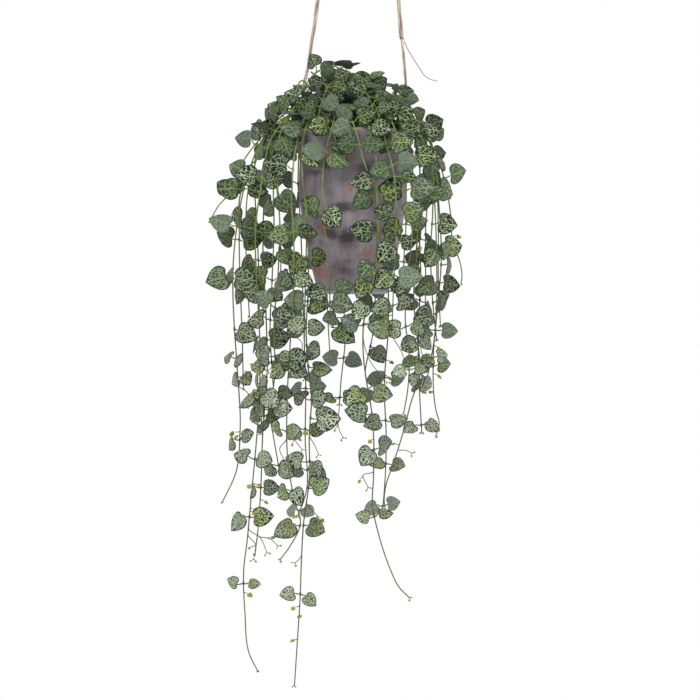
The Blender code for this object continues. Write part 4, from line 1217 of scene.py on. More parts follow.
class Shader:
    """A material and its nodes."""

    def __init__(self, name: str) -> None:
        """A new material of that name, with a plain surface.

        Args:
            name: The material's name.
        """
        self.material = bpy.data.materials.new(name)
        self.material.use_nodes = True
        self.tree = self.material.node_tree
        self.surface = self.tree.nodes["Principled BSDF"]

    def node(self, kind: str, settings: dict | None = None, sockets: dict | None = None,
             output: int | str = 0) -> Value:
        """A node of any kind.

        Args:
            kind: Its type.
            settings: Its own settings, set first. A ramp's stops are (place, colour) pairs.
            sockets: What goes into its sockets, by name or number: a value, or a Value to link.
            output: Which of its outputs carries the result.

        Returns:
            The result.
        """
        made = self.tree.nodes.new(kind)
        for name, value in (settings or {}).items():
            setattr(made, name, value)
        for key, value in (sockets or {}).items():
            if isinstance(value, Value):
                self.tree.links.new(value.socket, made.inputs[key])
            else:
                made.inputs[key].default_value = value
        return Value(self, made.outputs[output])

    def maths(self, operation: str, *terms: object) -> Value:
        """A Math node on numbers and values."""
        return self.node("ShaderNodeMath", {"operation": operation}, dict(enumerate(terms)))

    def place(self) -> Value:
        """The place on the piece, in metres."""
        return self.node("ShaderNodeTexCoord", output="Object")

    def parts(self, vector: Value) -> tuple:
        """A vector's three numbers."""
        split = self.node("ShaderNodeSeparateXYZ", None, {0: vector}).socket.node
        return tuple(Value(self, socket) for socket in split.outputs)

    def vector(self, x: object, y: object, z: object = 0.0) -> Value:
        """A vector of three numbers or values."""
        return self.node("ShaderNodeCombineXYZ", None, {0: x, 1: y, 2: z})

    def stretched(self, vector: Value, scale: tuple) -> Value:
        """A place scaled along each axis."""
        return self.node("ShaderNodeMapping", None, {"Vector": vector, "Scale": scale})

    def attribute(self, name: str) -> Value:
        """A number stored on the mesh."""
        return self.node("ShaderNodeAttribute", {"attribute_name": name}, output="Fac")

    def noise(self, vector: Value, scale: float, detail: float = 3.0, roughness: float = 0.55) -> Value:
        """Soft noise from 0 to 1."""
        return self.node("ShaderNodeTexNoise", None, {"Vector": vector, "Scale": scale, "Detail": detail,
                                                      "Roughness": roughness})

    def mix(self, share: object, first: object, second: object) -> Value:
        """Two colours mixed. A plain colour is three numbers."""
        colours = {key: (*c, 1.0) if isinstance(c, tuple) else c for key, c in ((6, first), (7, second))}
        return self.node("ShaderNodeMix", {"data_type": "RGBA"}, {0: share, **colours}, 2)

    def shaded(self, colour: Value, share: Value) -> Value:
        """A colour made lighter or darker by a value."""
        grey = self.vector(share, share, share)
        return self.node("ShaderNodeVectorMath", {"operation": "MULTIPLY"}, {0: colour, 1: grey})

    def dress(self, colour: Value, roughness: object, height: Value, depth: float,
              strength: float = 1.0, gloss: float = 0.25) -> Material:
        """The surface's colour, roughness and relief.

        Args:
            colour: The base colour.
            roughness: A number or value.
            height: The relief, from 0 to 1.
            depth: How many millimetres the relief is deep.
            strength: How much of the relief shows.
            gloss: The level of its mirror-like light.

        Returns:
            The finished material.
        """
        bump = self.node("ShaderNodeBump", None, {"Height": height, "Distance": depth * MM,
                                                  "Strength": strength})
        for name, value in (("Base Color", colour), ("Roughness", roughness), ("Normal", bump)):
            if isinstance(value, Value):
                self.tree.links.new(value.socket, self.surface.inputs[name])
            else:
                self.surface.inputs[name].default_value = value
        self.surface.inputs["Specular IOR Level"].default_value = gloss
        return self.material


class BladeMap:
    """The veins of a blade over its own map of width 1: ribs that spread from its stalk, and a net."""

    BEHIND = 0.13
    RIBS = 1.15
    RIB_SHIFT = 0.44
    ROWS = 4.6
    COLUMNS = 3.3

    def __init__(self, shader: Shader) -> None:
        """The map in a material's shader.

        Args:
            shader: The material's shader.
        """
        self.shader = shader
        self.x, self.y, _ = shader.parts(shader.node("ShaderNodeUVMap", {"uv_map": "blade"}))
        self.tone = shader.attribute("tone")
        ahead = self.y + self.BEHIND
        self.angle = shader.maths("ARCTAN2", self.x, ahead)
        self.reach = shader.maths("SQRT", self.x * self.x + ahead * ahead)

    def draw(self, factor: float) -> Value:
        """A number from 0 to 1 that each leaf has for itself."""
        return self.shader.maths("FRACT", self.tone * factor)

    def cloud(self, scale: float, detail: float) -> Value:
        """Soft noise that each leaf has for itself."""
        place = self.shader.vector(self.x + self.tone * 31.0, self.y + self.tone * 17.0)
        return self.shader.noise(place, scale, detail)

    def ribs(self, wander: object = 0.0) -> Value:
        """How far a place lies from the nearest rib."""
        return abs(self.shader.maths("FRACT", self.angle * self.RIBS + wander + self.RIB_SHIFT) - 0.5)

    def net(self, place: Value, scale: float = 1.0, randomness: float = 0.95) -> Value:
        """How far a place lies from the nearest vein of the net.

        Args:
            place: The place in rays across and rings along.
            scale: How much finer than its rays and rings the net is.
            randomness: How uneven its cells are.

        Returns:
            The distance.
        """
        settings = {"feature": "DISTANCE_TO_EDGE", "voronoi_dimensions": "2D"}
        sockets = {"Vector": place, "Scale": scale, "Randomness": randomness}
        return self.shader.node("ShaderNodeTexVoronoi", settings, sockets)


@dataclass(frozen=True)
class BladeFinish:
    """The upper side of a leaf: a thin pale net of veins on dark green, with a dark margin."""

    dark: tuple = linear(22, 34, 25)
    dark_high: tuple = linear(15, 29, 17)
    pale_high: tuple = linear(134, 153, 94)
    pale_low: tuple = linear(176, 186, 158)
    sheen: tuple = linear(64, 79, 72)
    margin: tuple = linear(30, 48, 38)
    tint: tuple = linear(142, 156, 84)
    tint_dark: tuple = linear(30, 44, 21)
    silver: tuple = linear(86, 99, 88)
    # levels in metres: between low and high the leaves turn darker and greener, and over the crown they are darkened
    # again with painted shade
    high: float = -0.27
    low: float = -0.42
    crown: tuple = (-0.235, -0.19)
    # the dark middle of the plant: its reach beside the pot's axis and the level it starts from
    middle_reach: tuple = (0.035, 0.060)
    middle_level: tuple = (-0.37, -0.32)
    # from which draw on a leaf is yellowish, takes a painted bluish sheen, or is silvery
    yellow_from: tuple = (0.4, 0.9)
    sheen_from: tuple = (0.62, 0.95)
    silver_from: tuple = (0.90, 0.94)

    def veins(self, blade: BladeMap, wander: Value, coarse: Value, thin: Value) -> Value:
        """The veins on a leaf.

        Args:
            blade: The leaf's map.
            wander: Noise that bends them.
            coarse: How coarse their net is.
            thin: How thin they are.

        Returns:
            1 on a vein and 0 beside it.
        """
        s, x, y, tone = blade.shader, blade.x, blade.y, blade.tone
        wander_too = s.noise(s.vector(y - tone * 23.0, x + 9.0), 5.5, 2.0)
        place = s.vector((blade.angle * blade.COLUMNS + wander * 1.4) * coarse + tone * 40.0,
                         (blade.reach * blade.ROWS + wander_too * 1.5) * coarse)
        net = (blade.net(place) * thin).fall(0.04, 0.13)
        fine = (blade.net(place, 2.1, 0.9) * thin).fall(0.02, 0.10)
        midrib = abs(x + (wander - 0.5) * 0.03).fall(0.006, 0.022) * y.step(0.0, 0.05)
        ribs = blade.ribs(wander * 0.12).fall(0.015, 0.045) * blade.reach.fall(0.55, 0.85)
        return net.most(fine * (blade.draw(23.7) * 0.6)).most(midrib).most(ribs * 0.9)

    def material(self) -> Material:
        """The finish as a material.

        Returns:
            The material.
        """
        s = Shader("leaf_blade")
        blade, edge = BladeMap(s), s.attribute("edge")
        tone, own, other = blade.tone, blade.draw(7.31), blade.draw(23.7)
        wander = blade.cloud(5.5, 2.0)
        beside, _, z = s.parts(s.place())
        middle = abs(beside - PotForm.axis_x * MM).fall(*self.middle_reach) * z.step(*self.middle_level)
        height = z.step(self.low, self.high).most(middle)
        veins = self.veins(blade, wander, own * 0.35 + 1.10 - height * 0.25, height * 0.55 + 0.70)
        inside = (edge + (wander - 0.5) * 0.5).fall(0.66, 0.86)
        pale = veins * inside * (own * 0.42 + 0.5 - middle * 0.08)
        # painted shade: over the dense crown the leaves' dark ground, and then their whole colour, are darkened
        crown = z.step(*self.crown)
        yellow = blade.draw(41.3).step(*self.yellow_from) * blade.reach.fall(0.45, 1.0)
        ground = s.mix(yellow, s.mix(height, self.dark, self.dark_high), self.tint_dark)
        ground = s.shaded(ground, 1.0 - crown * 0.25)
        ground = s.mix(edge.step(0.62, 0.9), ground, self.margin)
        light = s.mix(height * (other * 0.6 + 0.4), self.pale_low, self.pale_high)
        light = s.mix(yellow * 0.7, light, self.tint)
        colour = s.mix(pale, ground, light)
        # painted sheen: a bluish-grey sheen mixed into the colour of some leaves, stronger higher up
        painted_sheen = other.step(*self.sheen_from) * (0.18 + height * 0.20) * (wander * 0.8 + 0.5)
        colour = s.mix(painted_sheen.least(0.45), colour, self.sheen)
        silvery = blade.draw(57.9).step(*self.silver_from) * (wander * 0.4 + 0.30)
        colour = s.mix(silvery, colour, self.silver)
        # the random tone of each leaf, with painted shade over the crown
        colour = s.shaded(colour, tone * (height * 0.30 + 0.30) + 0.86 - height * 0.03 - crown * 0.19)
        roughness = 0.46 - pale * 0.10 + wander * 0.10
        return s.dress(colour, roughness, veins * 0.6 + wander * 0.5, 0.25, 0.5, 0.1)


@dataclass(frozen=True)
class UndersideFinish:
    """The lower side of a leaf: the net of the upper side shows through it, faint and grey."""

    green: tuple = linear(72, 84, 74)
    vein: tuple = linear(142, 152, 132)

    def material(self) -> Material:
        """The finish as a material.

        Returns:
            The material.
        """
        s = Shader("leaf_underside")
        blade = BladeMap(s)
        cloud, ribs = blade.cloud(4.0, 3.0), blade.ribs().fall(0.02, 0.06)
        place = s.vector(blade.angle * blade.COLUMNS + cloud + blade.tone * 40.0,
                         blade.reach * blade.ROWS + cloud)
        net = blade.net(place).fall(0.04, 0.16)
        colour = s.mix(net.most(ribs * 0.8) * 0.55 + cloud * 0.3, self.green, self.vein)
        colour = s.shaded(colour, blade.tone * 0.35 + 0.78)
        return s.dress(colour, 0.6, ribs + cloud * 0.4, 0.25, 0.5, 0.1)


@dataclass(frozen=True)
class StemFinish:
    """Stems and petioles: fresh yellow-green over the pot, olive lower down, with fine lengthwise grain."""

    fresh: tuple = linear(106, 122, 58)
    olive: tuple = linear(78, 84, 54)
    brown: tuple = linear(82, 70, 48)
    high: float = -0.22
    low: float = -0.40

    def material(self) -> Material:
        """The finish as a material.

        Returns:
            The material.
        """
        s = Shader("stem")
        place = s.place()
        _, _, z = s.parts(place)
        grain = s.noise(s.stretched(place, (1.0, 1.0, 0.08)), 1400.0, 2.0)
        patch = s.noise(place, 42.0, 3.0)
        colour = s.mix((z + (patch - 0.5) * 0.14).step(self.low, self.high), self.olive, self.fresh)
        colour = s.mix(patch.step(0.48, 0.64) * 0.7, colour, self.brown)
        colour = s.shaded(colour, grain * 0.5 + 0.72)
        return s.dress(colour, 0.55, grain, 0.12, 0.6, 0.15)


@dataclass(frozen=True)
class BudFinish:
    """The buds: mustard yellow, mottled with olive."""

    mustard: tuple = linear(138, 126, 32)
    olive: tuple = linear(90, 102, 34)

    def material(self) -> Material:
        """The finish as a material.

        Returns:
            The material.
        """
        s = Shader("bud")
        mottle = s.noise(s.place(), 420.0, 3.0)
        colour = s.mix(mottle.step(0.42, 0.62), self.mustard, self.olive)
        return s.dress(colour, 0.5, mottle, 0.2, 0.5)


@dataclass(frozen=True)
class ChipOrShadowSpot:
    """A spot on the pot, either a chip where the wash has come off the clay or a painted leaf shadow: right of the
    axis and below the rim, with its reach.
    """

    right: float
    drop: float
    width: float
    height: float


@dataclass(frozen=True)
class ClayFinish:
    """Red earthenware under a thin mauve-grey wash that is brushed downwards, chipped and blotched, with painted leaf
    shadows on its front and painted light on its right flank.
    """

    wash: tuple = linear(132, 125, 129)
    # pale wash of the brushed streaks and the foot, also used as painted light on the right flank
    pale_wash_and_painted_light: tuple = linear(158, 152, 156)
    wash_dark: tuple = linear(106, 99, 103)
    # dark of the wash's own blotches and of the painted leaf shadows
    blotch_and_painted_shadow: tuple = linear(46, 40, 40)
    rust: tuple = linear(160, 84, 52)
    blush: tuple = linear(160, 136, 130)
    chips: tuple = (ChipOrShadowSpot(17, 123, 13, 5), ChipOrShadowSpot(28, 127, 9, 5), ChipOrShadowSpot(-34, 137, 11, 13), ChipOrShadowSpot(-20, 22, 6, 6),
                    ChipOrShadowSpot(-13, 29, 6, 5), ChipOrShadowSpot(52, 25, 5, 6), ChipOrShadowSpot(-62, 3, 4, 5), ChipOrShadowSpot(-52, 23, 5, 9),
                    ChipOrShadowSpot(-39, 72, 9, 4), ChipOrShadowSpot(-30, 96, 9, 7), ChipOrShadowSpot(-3, 59, 6, 5), ChipOrShadowSpot(9, 132, 8, 6),
                    ChipOrShadowSpot(-1, 28, 5, 6), ChipOrShadowSpot(-27, 146, 10, 5))
    # painted shadows of leaves cast on the pot's front: right of the axis, below the rim, and their reach
    painted_leaf_shadows: tuple = (ChipOrShadowSpot(-26, 34, 12, 8), ChipOrShadowSpot(-6, 79, 18, 7), ChipOrShadowSpot(-22, 104, 10, 8), ChipOrShadowSpot(-4, 107, 13, 9),
                      ChipOrShadowSpot(-8, 139, 14, 10), ChipOrShadowSpot(14, 42, 12, 9), ChipOrShadowSpot(14, 62, 10, 7), ChipOrShadowSpot(-44, 112, 7, 9),
                      ChipOrShadowSpot(-46, 14, 8, 14), ChipOrShadowSpot(20, 100, 12, 8), ChipOrShadowSpot(-38, 44, 10, 6))

    def near(self, s: Shader, pot: PotForm, spot: ChipOrShadowSpot, stray: Value) -> Value:
        """How near a place is to a spot's middle.

        Args:
            s: The finish's shader.
            pot: The pot that the spot is on.
            spot: The spot.
            stray: Noise that makes its edge uneven.

        Returns:
            0 in the middle and about 1 at the edge.
        """
        x, _, z = s.parts(s.place())
        middle = pot.place(spot.right, 0.0, -spot.drop)
        across = (x - middle.x) / (spot.width * MM)
        down = (z - middle.z) / (spot.height * MM)
        return s.maths("SQRT", across * across + down * down) + stray

    def material(self, pot: PotForm) -> Material:
        """The finish as a material.

        Args:
            pot: The pot that the chips and the painted leaf shadows are placed on.

        Returns:
            The material.
        """
        s = Shader("washed_clay")
        place = s.place()
        x, y, z = s.parts(place)
        brushed = s.noise(s.stretched(place, (1.0, 1.0, 0.09)), 300.0, 5.0, 0.62)
        broad = s.noise(s.stretched(place, (1.0, 1.0, 0.30)), 40.0, 4.0, 0.6)
        speck = s.noise(place, 520.0, 4.0, 0.7)
        wisp = s.noise(s.stretched(place, (0.5, 0.5, 1.0)), 760.0, 4.0, 0.65)
        blot = s.noise(place, 34.0, 3.0, 0.5)
        drift = s.noise(s.stretched(place, (0.45, 0.45, 1.0)), 62.0, 4.0, 0.6)
        colour = s.mix(broad.step(0.34, 0.68), self.wash_dark, self.wash)
        colour = s.mix(brushed.step(0.50, 0.72) * 0.28, colour, self.pale_wash_and_painted_light)
        # painted light: the pot's right flank is lightened as if lit from the right
        painted_light_flank = (x + (broad - 0.5) * 0.03).step(0.028, 0.048)
        colour = s.mix(painted_light_flank * 0.55, colour, self.pale_wash_and_painted_light)
        front = y.fall(0.0, 0.01)
        dark = blot.step(0.58, 0.74) * 0.5
        # painted shadows of the leaves on the pot's front, over the wash's own dark blotches
        for leaf_shadow in self.painted_leaf_shadows:
            dark = dark.most(self.near(s, pot, leaf_shadow, (drift - 0.5) * 2.8).fall(0.0, 1.2) * front * 0.84)
        colour = s.mix(dark * (speck * 0.5 + 0.7), colour, self.blotch_and_painted_shadow)
        bare = speck.step(0.64, 0.72) * broad.step(0.50, 0.66) * 0.45
        for chip in self.chips:
            near = self.near(s, pot, chip, (speck - 0.5) * 1.6)
            bare = bare.most(near.fall(0.30, 0.95) * front * wisp.step(0.47, 0.55))
        colour = s.mix(bare, colour, s.mix(brushed.step(0.50, 0.70) * 0.7, self.rust, self.blush))
        foot = (pot.rim_z - pot.height) * MM
        rim = z.step(pot.rim_z * MM - 0.004, pot.rim_z * MM)
        colour = s.mix((rim * (brushed * 0.9 + 0.2)).least(0.8), colour, self.blush)
        colour = s.mix(z.fall(foot + 0.001, foot + 0.004) * 0.6, colour, self.pale_wash_and_painted_light)
        relief = brushed * 0.30 + speck * 0.35 - bare * 0.5
        return s.dress(colour, 0.82 + broad * 0.12, relief, 0.5, 0.7, 0.12)


@dataclass(frozen=True)
class EarthFinish:
    """Potting mix: dark brown crumbs with paler bits of bark."""

    dark: tuple = linear(38, 30, 24)
    brown: tuple = linear(72, 55, 42)
    bark: tuple = linear(124, 98, 72)

    def material(self) -> Material:
        """The finish as a material.

        Returns:
            The material.
        """
        s = Shader("potting_mix")
        place = s.place()
        crumb = s.noise(place, 420.0, 4.0, 0.65)
        bits = s.node("ShaderNodeTexVoronoi", None, {"Vector": place, "Scale": 210.0}, "Color")
        red, _, _ = s.parts(bits)
        colour = s.mix(crumb.step(0.35, 0.65), self.dark, self.brown)
        colour = s.mix(red.step(0.82, 0.90), colour, self.bark)
        return s.dress(colour, 0.95, crumb + red * 0.4, 1.4, 1.0, 0.1)


@dataclass(frozen=True)
class FibreFinish:
    """Dried palm fibre: pale pinkish beige with brown lengthwise streaks and pale painted highlights."""

    pale: tuple = linear(182, 170, 156)
    brown: tuple = linear(130, 112, 94)
    deep: tuple = linear(74, 56, 40)
    shine: tuple = linear(212, 204, 194)
    grain: float = 20.0

    def material(self, name: str) -> Material:
        """The finish as a material, whose streaks follow the piece's own map.

        Args:
            name: The material's name.

        Returns:
            The material.
        """
        s = Shader(name)
        u, v, _ = s.parts(s.node("ShaderNodeUVMap", {"uv_map": "strand"}))
        streak = s.noise(s.vector(u * 0.6, v * self.grain), 1.0, 4.0, 0.6)
        patch = s.noise(s.vector(u * 0.7, v * 3.0 + 5.0), 1.0, 2.0)
        colour = s.mix(streak.step(0.38, 0.62), self.brown, self.pale)
        colour = s.mix(streak.fall(0.41, 0.47), colour, self.deep)
        # painted highlight: pale streaks where the fibres catch the light
        colour = s.mix(streak.step(0.58, 0.64) * 0.8, colour, self.shine)
        colour = s.shaded(colour, patch * 0.5 + 0.72)
        return s.dress(colour, 0.8, streak, 0.35, 1.0, 0.15)


class Slot(Enum):
    """The record's material slots."""

    CLAY = "clay"
    SOIL = "soil"
    FIBRE = "fibre"
    LIGHT_LEAF = "leaf_light"
    DARK_LEAF = "leaf_dark"
    MID_LEAF = "leaf_mid"


class Bench:
    """The moves that every piece is made with."""

    @staticmethod
    def take(*pieces: Piece) -> None:
        """Only these pieces selected, the first one active."""
        if bpy.context.object and bpy.context.object.mode == "EDIT":
            bpy.ops.object.mode_set(mode="OBJECT")
        bpy.ops.object.select_all(action="DESELECT")
        for piece in pieces:
            piece.select_set(True)
        bpy.context.view_layer.objects.active = pieces[0]

    @staticmethod
    def named(name: str) -> Piece:
        """The piece just added, under its own name.

        Args:
            name: The name.

        Returns:
            The piece.
        """
        piece = bpy.context.object
        piece.name = name
        piece.data.name = name
        return piece

    @staticmethod
    def settle(piece: Piece) -> None:
        """The piece's place, turn and scale put into its mesh."""
        Bench.take(piece)
        bpy.ops.object.transform_apply(location=True, rotation=True, scale=True)

    @staticmethod
    @contextmanager
    def editing(piece: Piece) -> Iterator[None]:
        """A piece in edit mode with all of it selected, and back in object mode afterwards.

        Args:
            piece: The piece.

        Yields:
            Nothing, while it is in edit mode.
        """
        Bench.take(piece)
        bpy.ops.object.mode_set(mode="EDIT")
        bpy.ops.mesh.select_all(action="SELECT")
        yield
        bpy.ops.object.mode_set(mode="OBJECT")

    @staticmethod
    def ring(name: str, sides: int, radius: float, place: Vector, fill: str = "NOTHING") -> Piece:
        """A level circle from which a piece is turned.

        Args:
            name: The name of the piece.
            sides: How many sides it has.
            radius: Its radius in millimetres.
            place: Its centre in metres.
            fill: How it is filled.

        Returns:
            The circle, its place in its mesh.
        """
        bpy.ops.object.select_all(action="DESELECT")
        bpy.ops.mesh.primitive_circle_add(vertices=sides, radius=radius * MM, fill_type=fill, location=place)
        ring = Bench.named(name)
        Bench.settle(ring)
        return ring

    @staticmethod
    def turn(outline: list, centre: Vector) -> None:
        """The selected ring extruded along an outline.

        Args:
            outline: Heights and radii in millimetres, the first those of the ring.
            centre: A point of the axis, in metres.
        """
        for (height, radius), (next_height, next_radius) in zip(outline, outline[1:]):
            rise, share = (next_height - height) * MM, next_radius / radius
            bpy.ops.mesh.extrude_region_move(TRANSFORM_OT_translate={"value": (0, 0, rise)})
            bpy.ops.transform.resize(value=(share, share, 1), center_override=centre)

    @staticmethod
    def new_map(mesh: bpy.types.Mesh, name: str) -> bpy.types.MeshUVLoopLayer:
        """A map under a name, in place of those that a mesh has.

        Args:
            mesh: The mesh.
            name: The map's name.

        Returns:
            The map.
        """
        while mesh.uv_layers:
            mesh.uv_layers.remove(mesh.uv_layers[0])
        return mesh.uv_layers.new(name=name)

    @staticmethod
    def finish_with(piece: Piece, kind: str, **settings: object) -> None:
        """A modifier, applied.

        Args:
            piece: The piece.
            kind: The modifier's type.
            **settings: Its settings by name.
        """
        Bench.take(piece)
        modifier = piece.modifiers.new(kind.lower(), kind)
        for name, value in settings.items():
            setattr(modifier, name, value)
        bpy.ops.object.modifier_apply(modifier=modifier.name)

    @staticmethod
    def copy(piece: Piece, matrix: Matrix) -> Piece:
        """A copy with a mesh of its own.

        Args:
            piece: What is copied.
            matrix: How the copy's mesh is moved.

        Returns:
            The copy.
        """
        twin = piece.copy()
        twin.data = piece.data.copy()
        twin.data.transform(matrix)
        bpy.context.scene.collection.objects.link(twin)
        return twin

    @staticmethod
    def join(pieces: list, name: str) -> Piece:
        """Several pieces as one, under a name.

        Args:
            pieces: The pieces.
            name: The name.

        Returns:
            The one piece.
        """
        Bench.take(*pieces)
        if len(pieces) > 1:
            bpy.ops.object.join()
        return Bench.named(name)

    @staticmethod
    def smooth(piece: Piece, degrees: float) -> None:
        """Smooth shading, with edges sharper than an angle left sharp."""
        Bench.take(piece)
        bpy.ops.object.shade_smooth_by_angle(angle=radians(degrees))

    @staticmethod
    def show(piece: Piece, slot: Slot, *nodes: str) -> Piece:
        """A finished piece that rides on the part and stands for its plain solids.

        Args:
            piece: The piece.
            slot: Its material slot.
            *nodes: The nodes that it replaces.

        Returns:
            The piece.
        """
        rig.ride(piece, ROOT)
        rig.slot(piece, slot.value)
        if nodes:
            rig.replaces(piece, *nodes)
        log.info("%s: %d faces", piece.name, len(piece.data.polygons))
        return piece


@dataclass(frozen=True)
class Studio:
    """The camera as the photograph has it, the soft lights, the white room and the pale floor."""

    target: tuple = (-8.9, 0.0, -398.0)
    distance: float = 3500.0
    frame_width: float = 700.0
    floor_z: float = -900.0
    floor_radius: float = 1450.0

    def set_camera(self) -> None:
        """The camera, level and straight ahead."""
        bpy.ops.object.camera_add(location=[c * MM for c in self.target], rotation=(pi / 2, 0, 0))
        camera = bpy.context.object
        camera.name = "camera"
        camera.location.y -= self.distance * MM
        camera.data.sensor_width = 36.0
        camera.data.lens = camera.data.sensor_width * self.distance / self.frame_width
        bpy.context.scene.camera = camera

    def add_light(self, name: str, place: tuple, size: float, power: float) -> None:
        """A square soft light that faces the plant.

        Args:
            name: Its name.
            place: Where it stands, in millimetres.
            size: Its side in millimetres.
            power: Its power in watts.
        """
        where, target = Vector(place) * MM, Vector(self.target) * MM
        turn = (target - where).to_track_quat("-Z", "Y").to_euler()
        bpy.ops.object.light_add(type="AREA", location=where, rotation=turn)
        light = bpy.context.object
        light.name = name
        light.data.size = size * MM
        light.data.energy = power

    def set_lights(self) -> None:
        """A main light from the front left and above, a weaker one from the right, and the white room."""
        self.add_light("main_light", (-1100, -2300, 1500), 900, 68)
        self.add_light("side_light", (2100, -1300, 300), 1400, 26)
        room = bpy.data.worlds.new("white_room")
        room.use_nodes = True
        back = room.node_tree.nodes["Background"]
        back.inputs["Color"].default_value = (1.0, 1.0, 1.0, 1.0)
        back.inputs["Strength"].default_value = 1.0
        bpy.context.scene.world = room
        bpy.context.scene.view_settings.view_transform = "Standard"

    def lay_floor(self) -> None:
        """A round pale floor, far below the plant."""
        place = (self.target[0] * MM, 0.0, self.floor_z * MM)
        bpy.ops.mesh.primitive_circle_add(vertices=96, radius=self.floor_radius * MM, fill_type="NGON",
                                          location=place)
        floor = Bench.named("floor")
        s = Shader("pale_floor")
        grain = s.noise(s.place(), 60.0, 3.0)
        colour = s.mix(grain, linear(240, 240, 240), linear(246, 246, 246))
        floor.data.materials.append(s.dress(colour, 0.85, grain, 0.2))
        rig.stage(floor)


@dataclass(frozen=True)
class Pot:
    """The pot's own body: turned from its smoothed outline, with a rounded lip and drilled bores."""

    form: PotForm
    sides: int = 112
    rim_points: int = 5
    unevenness: float = 0.35

    @staticmethod
    def softened(profile: list, count: int) -> list:
        """Rounds an outline.

        Args:
            profile: Heights and radii.
            count: How many points each stretch between them gets.

        Returns:
            Heights and radii on one smooth curve through those given.
        """
        points = [Vector((radius, 0.0, height)) for height, radius in profile]
        curve = []
        for i in range(len(points) - 1):
            before, after = points[max(i - 1, 0)], points[min(i + 2, len(points) - 1)]
            first, second = points[i], points[i + 1]
            for k in range(count):
                u = k / count
                curve.append(0.5 * (2 * first + (second - before) * u
                                    + (2 * before - 5 * first + 4 * second - after) * u * u
                                    + (3 * first - before - 3 * second + after) * u ** 3))
        curve.append(points[-1])
        return [(point.z, point.x) for point in curve]

    def outline(self) -> list:
        """Heights and radii from the drain hole's lower edge round the wall to its upper edge.

        Returns:
            Pairs of a height and a radius.
        """
        form = self.form
        foot = [(0.0, form.drain), (0.0, 20.0), (0.0, form.outer[0][1] - 2.4), (0.5, form.outer[0][1] - 0.7),
                (2.2, form.outer[0][1] + 0.35)]
        wall = self.softened([(6.0, 36.2), *form.outer[1:-2]], 5)
        lip_low, lip_out, lip_in = form.outer[-3], form.lip_outer, form.lip_inner
        middle = (lip_out + lip_in) / 2
        half_lip = (lip_out - lip_in - 0.5) / 2
        rim = [(158.2, lip_out - 0.75)]
        for step in range(self.rim_points + 1):
            angle = pi * step / self.rim_points
            rim.append((160.8 + 2.0 * sin(angle), middle + half_lip * cos(angle)))
        inner = self.softened([(158.0, 56.0), *form.inner[1:-1], (12.0, 31.6)], 4)
        floor = [(8.8, 29.6), (form.floor, 26.0), (form.floor, 16.0), (form.floor, form.drain)]
        wall = [point for point in wall if point[0] < lip_low[0] + 4]
        return [*foot, *wall, *rim, *inner, *floor]

    def build(self) -> Piece:
        """The pot, turned, drilled and dressed.

        Returns:
            The pot.
        """
        outline, foot = self.outline(), self.form.place(0, 0, -self.form.height)
        pot = Bench.ring("pot_body", self.sides, outline[0][1], foot)
        with Bench.editing(pot):
            Bench.turn(outline, foot)
        self.close_drain(pot)
        self.drill(pot)
        self.wobble(pot)
        Bench.smooth(pot, 40)
        pot.data.materials.append(ClayFinish().material(self.form))
        return Bench.show(pot, Slot.CLAY, "pot")

    @staticmethod
    def close_drain(pot: Piece) -> None:
        """The drain hole's wall, between the first ring and the last.

        Args:
            pot: The turned pot.
        """
        with Bench.editing(pot):
            bpy.ops.mesh.region_to_loop()
            bpy.ops.mesh.bridge_edge_loops()
            bpy.ops.mesh.select_all(action="SELECT")
            bpy.ops.mesh.normals_make_consistent(inside=False)

    def drill(self, pot: Piece) -> None:
        """A bore through the wall for each leg of the sling.

        Args:
            pot: The turned pot.
        """
        form = self.form
        wall = form.radius(form.outer, form.bore_height)
        for side in (-1, 1):
            place = form.place(side * (wall - 3), 0, form.bore_height - form.height)
            bpy.ops.mesh.primitive_cylinder_add(vertices=24, radius=form.bore_radius * MM, depth=16 * MM,
                                                location=place, rotation=(0, pi / 2, 0))
            drill = Bench.named("drill")
            Bench.finish_with(pot, "BOOLEAN", object=drill, operation="DIFFERENCE", solver="EXACT")
            bpy.data.objects.remove(drill)

    def wobble(self, pot: Piece) -> None:
        """The slight unevenness of a pot thrown by hand.

        Args:
            pot: The drilled pot.
        """
        form = self.form
        for vertex in pot.data.vertices:
            angle = atan2(vertex.co.y, vertex.co.x - form.axis_x * MM)
            height = vertex.co.z / MM
            swell = sin(2 * angle + height / 31) * 0.6 + sin(5 * angle - height / 17) * 0.25
            way = Vector((cos(angle), sin(angle), 0.0))
            vertex.co += way * (swell * self.unevenness * MM)


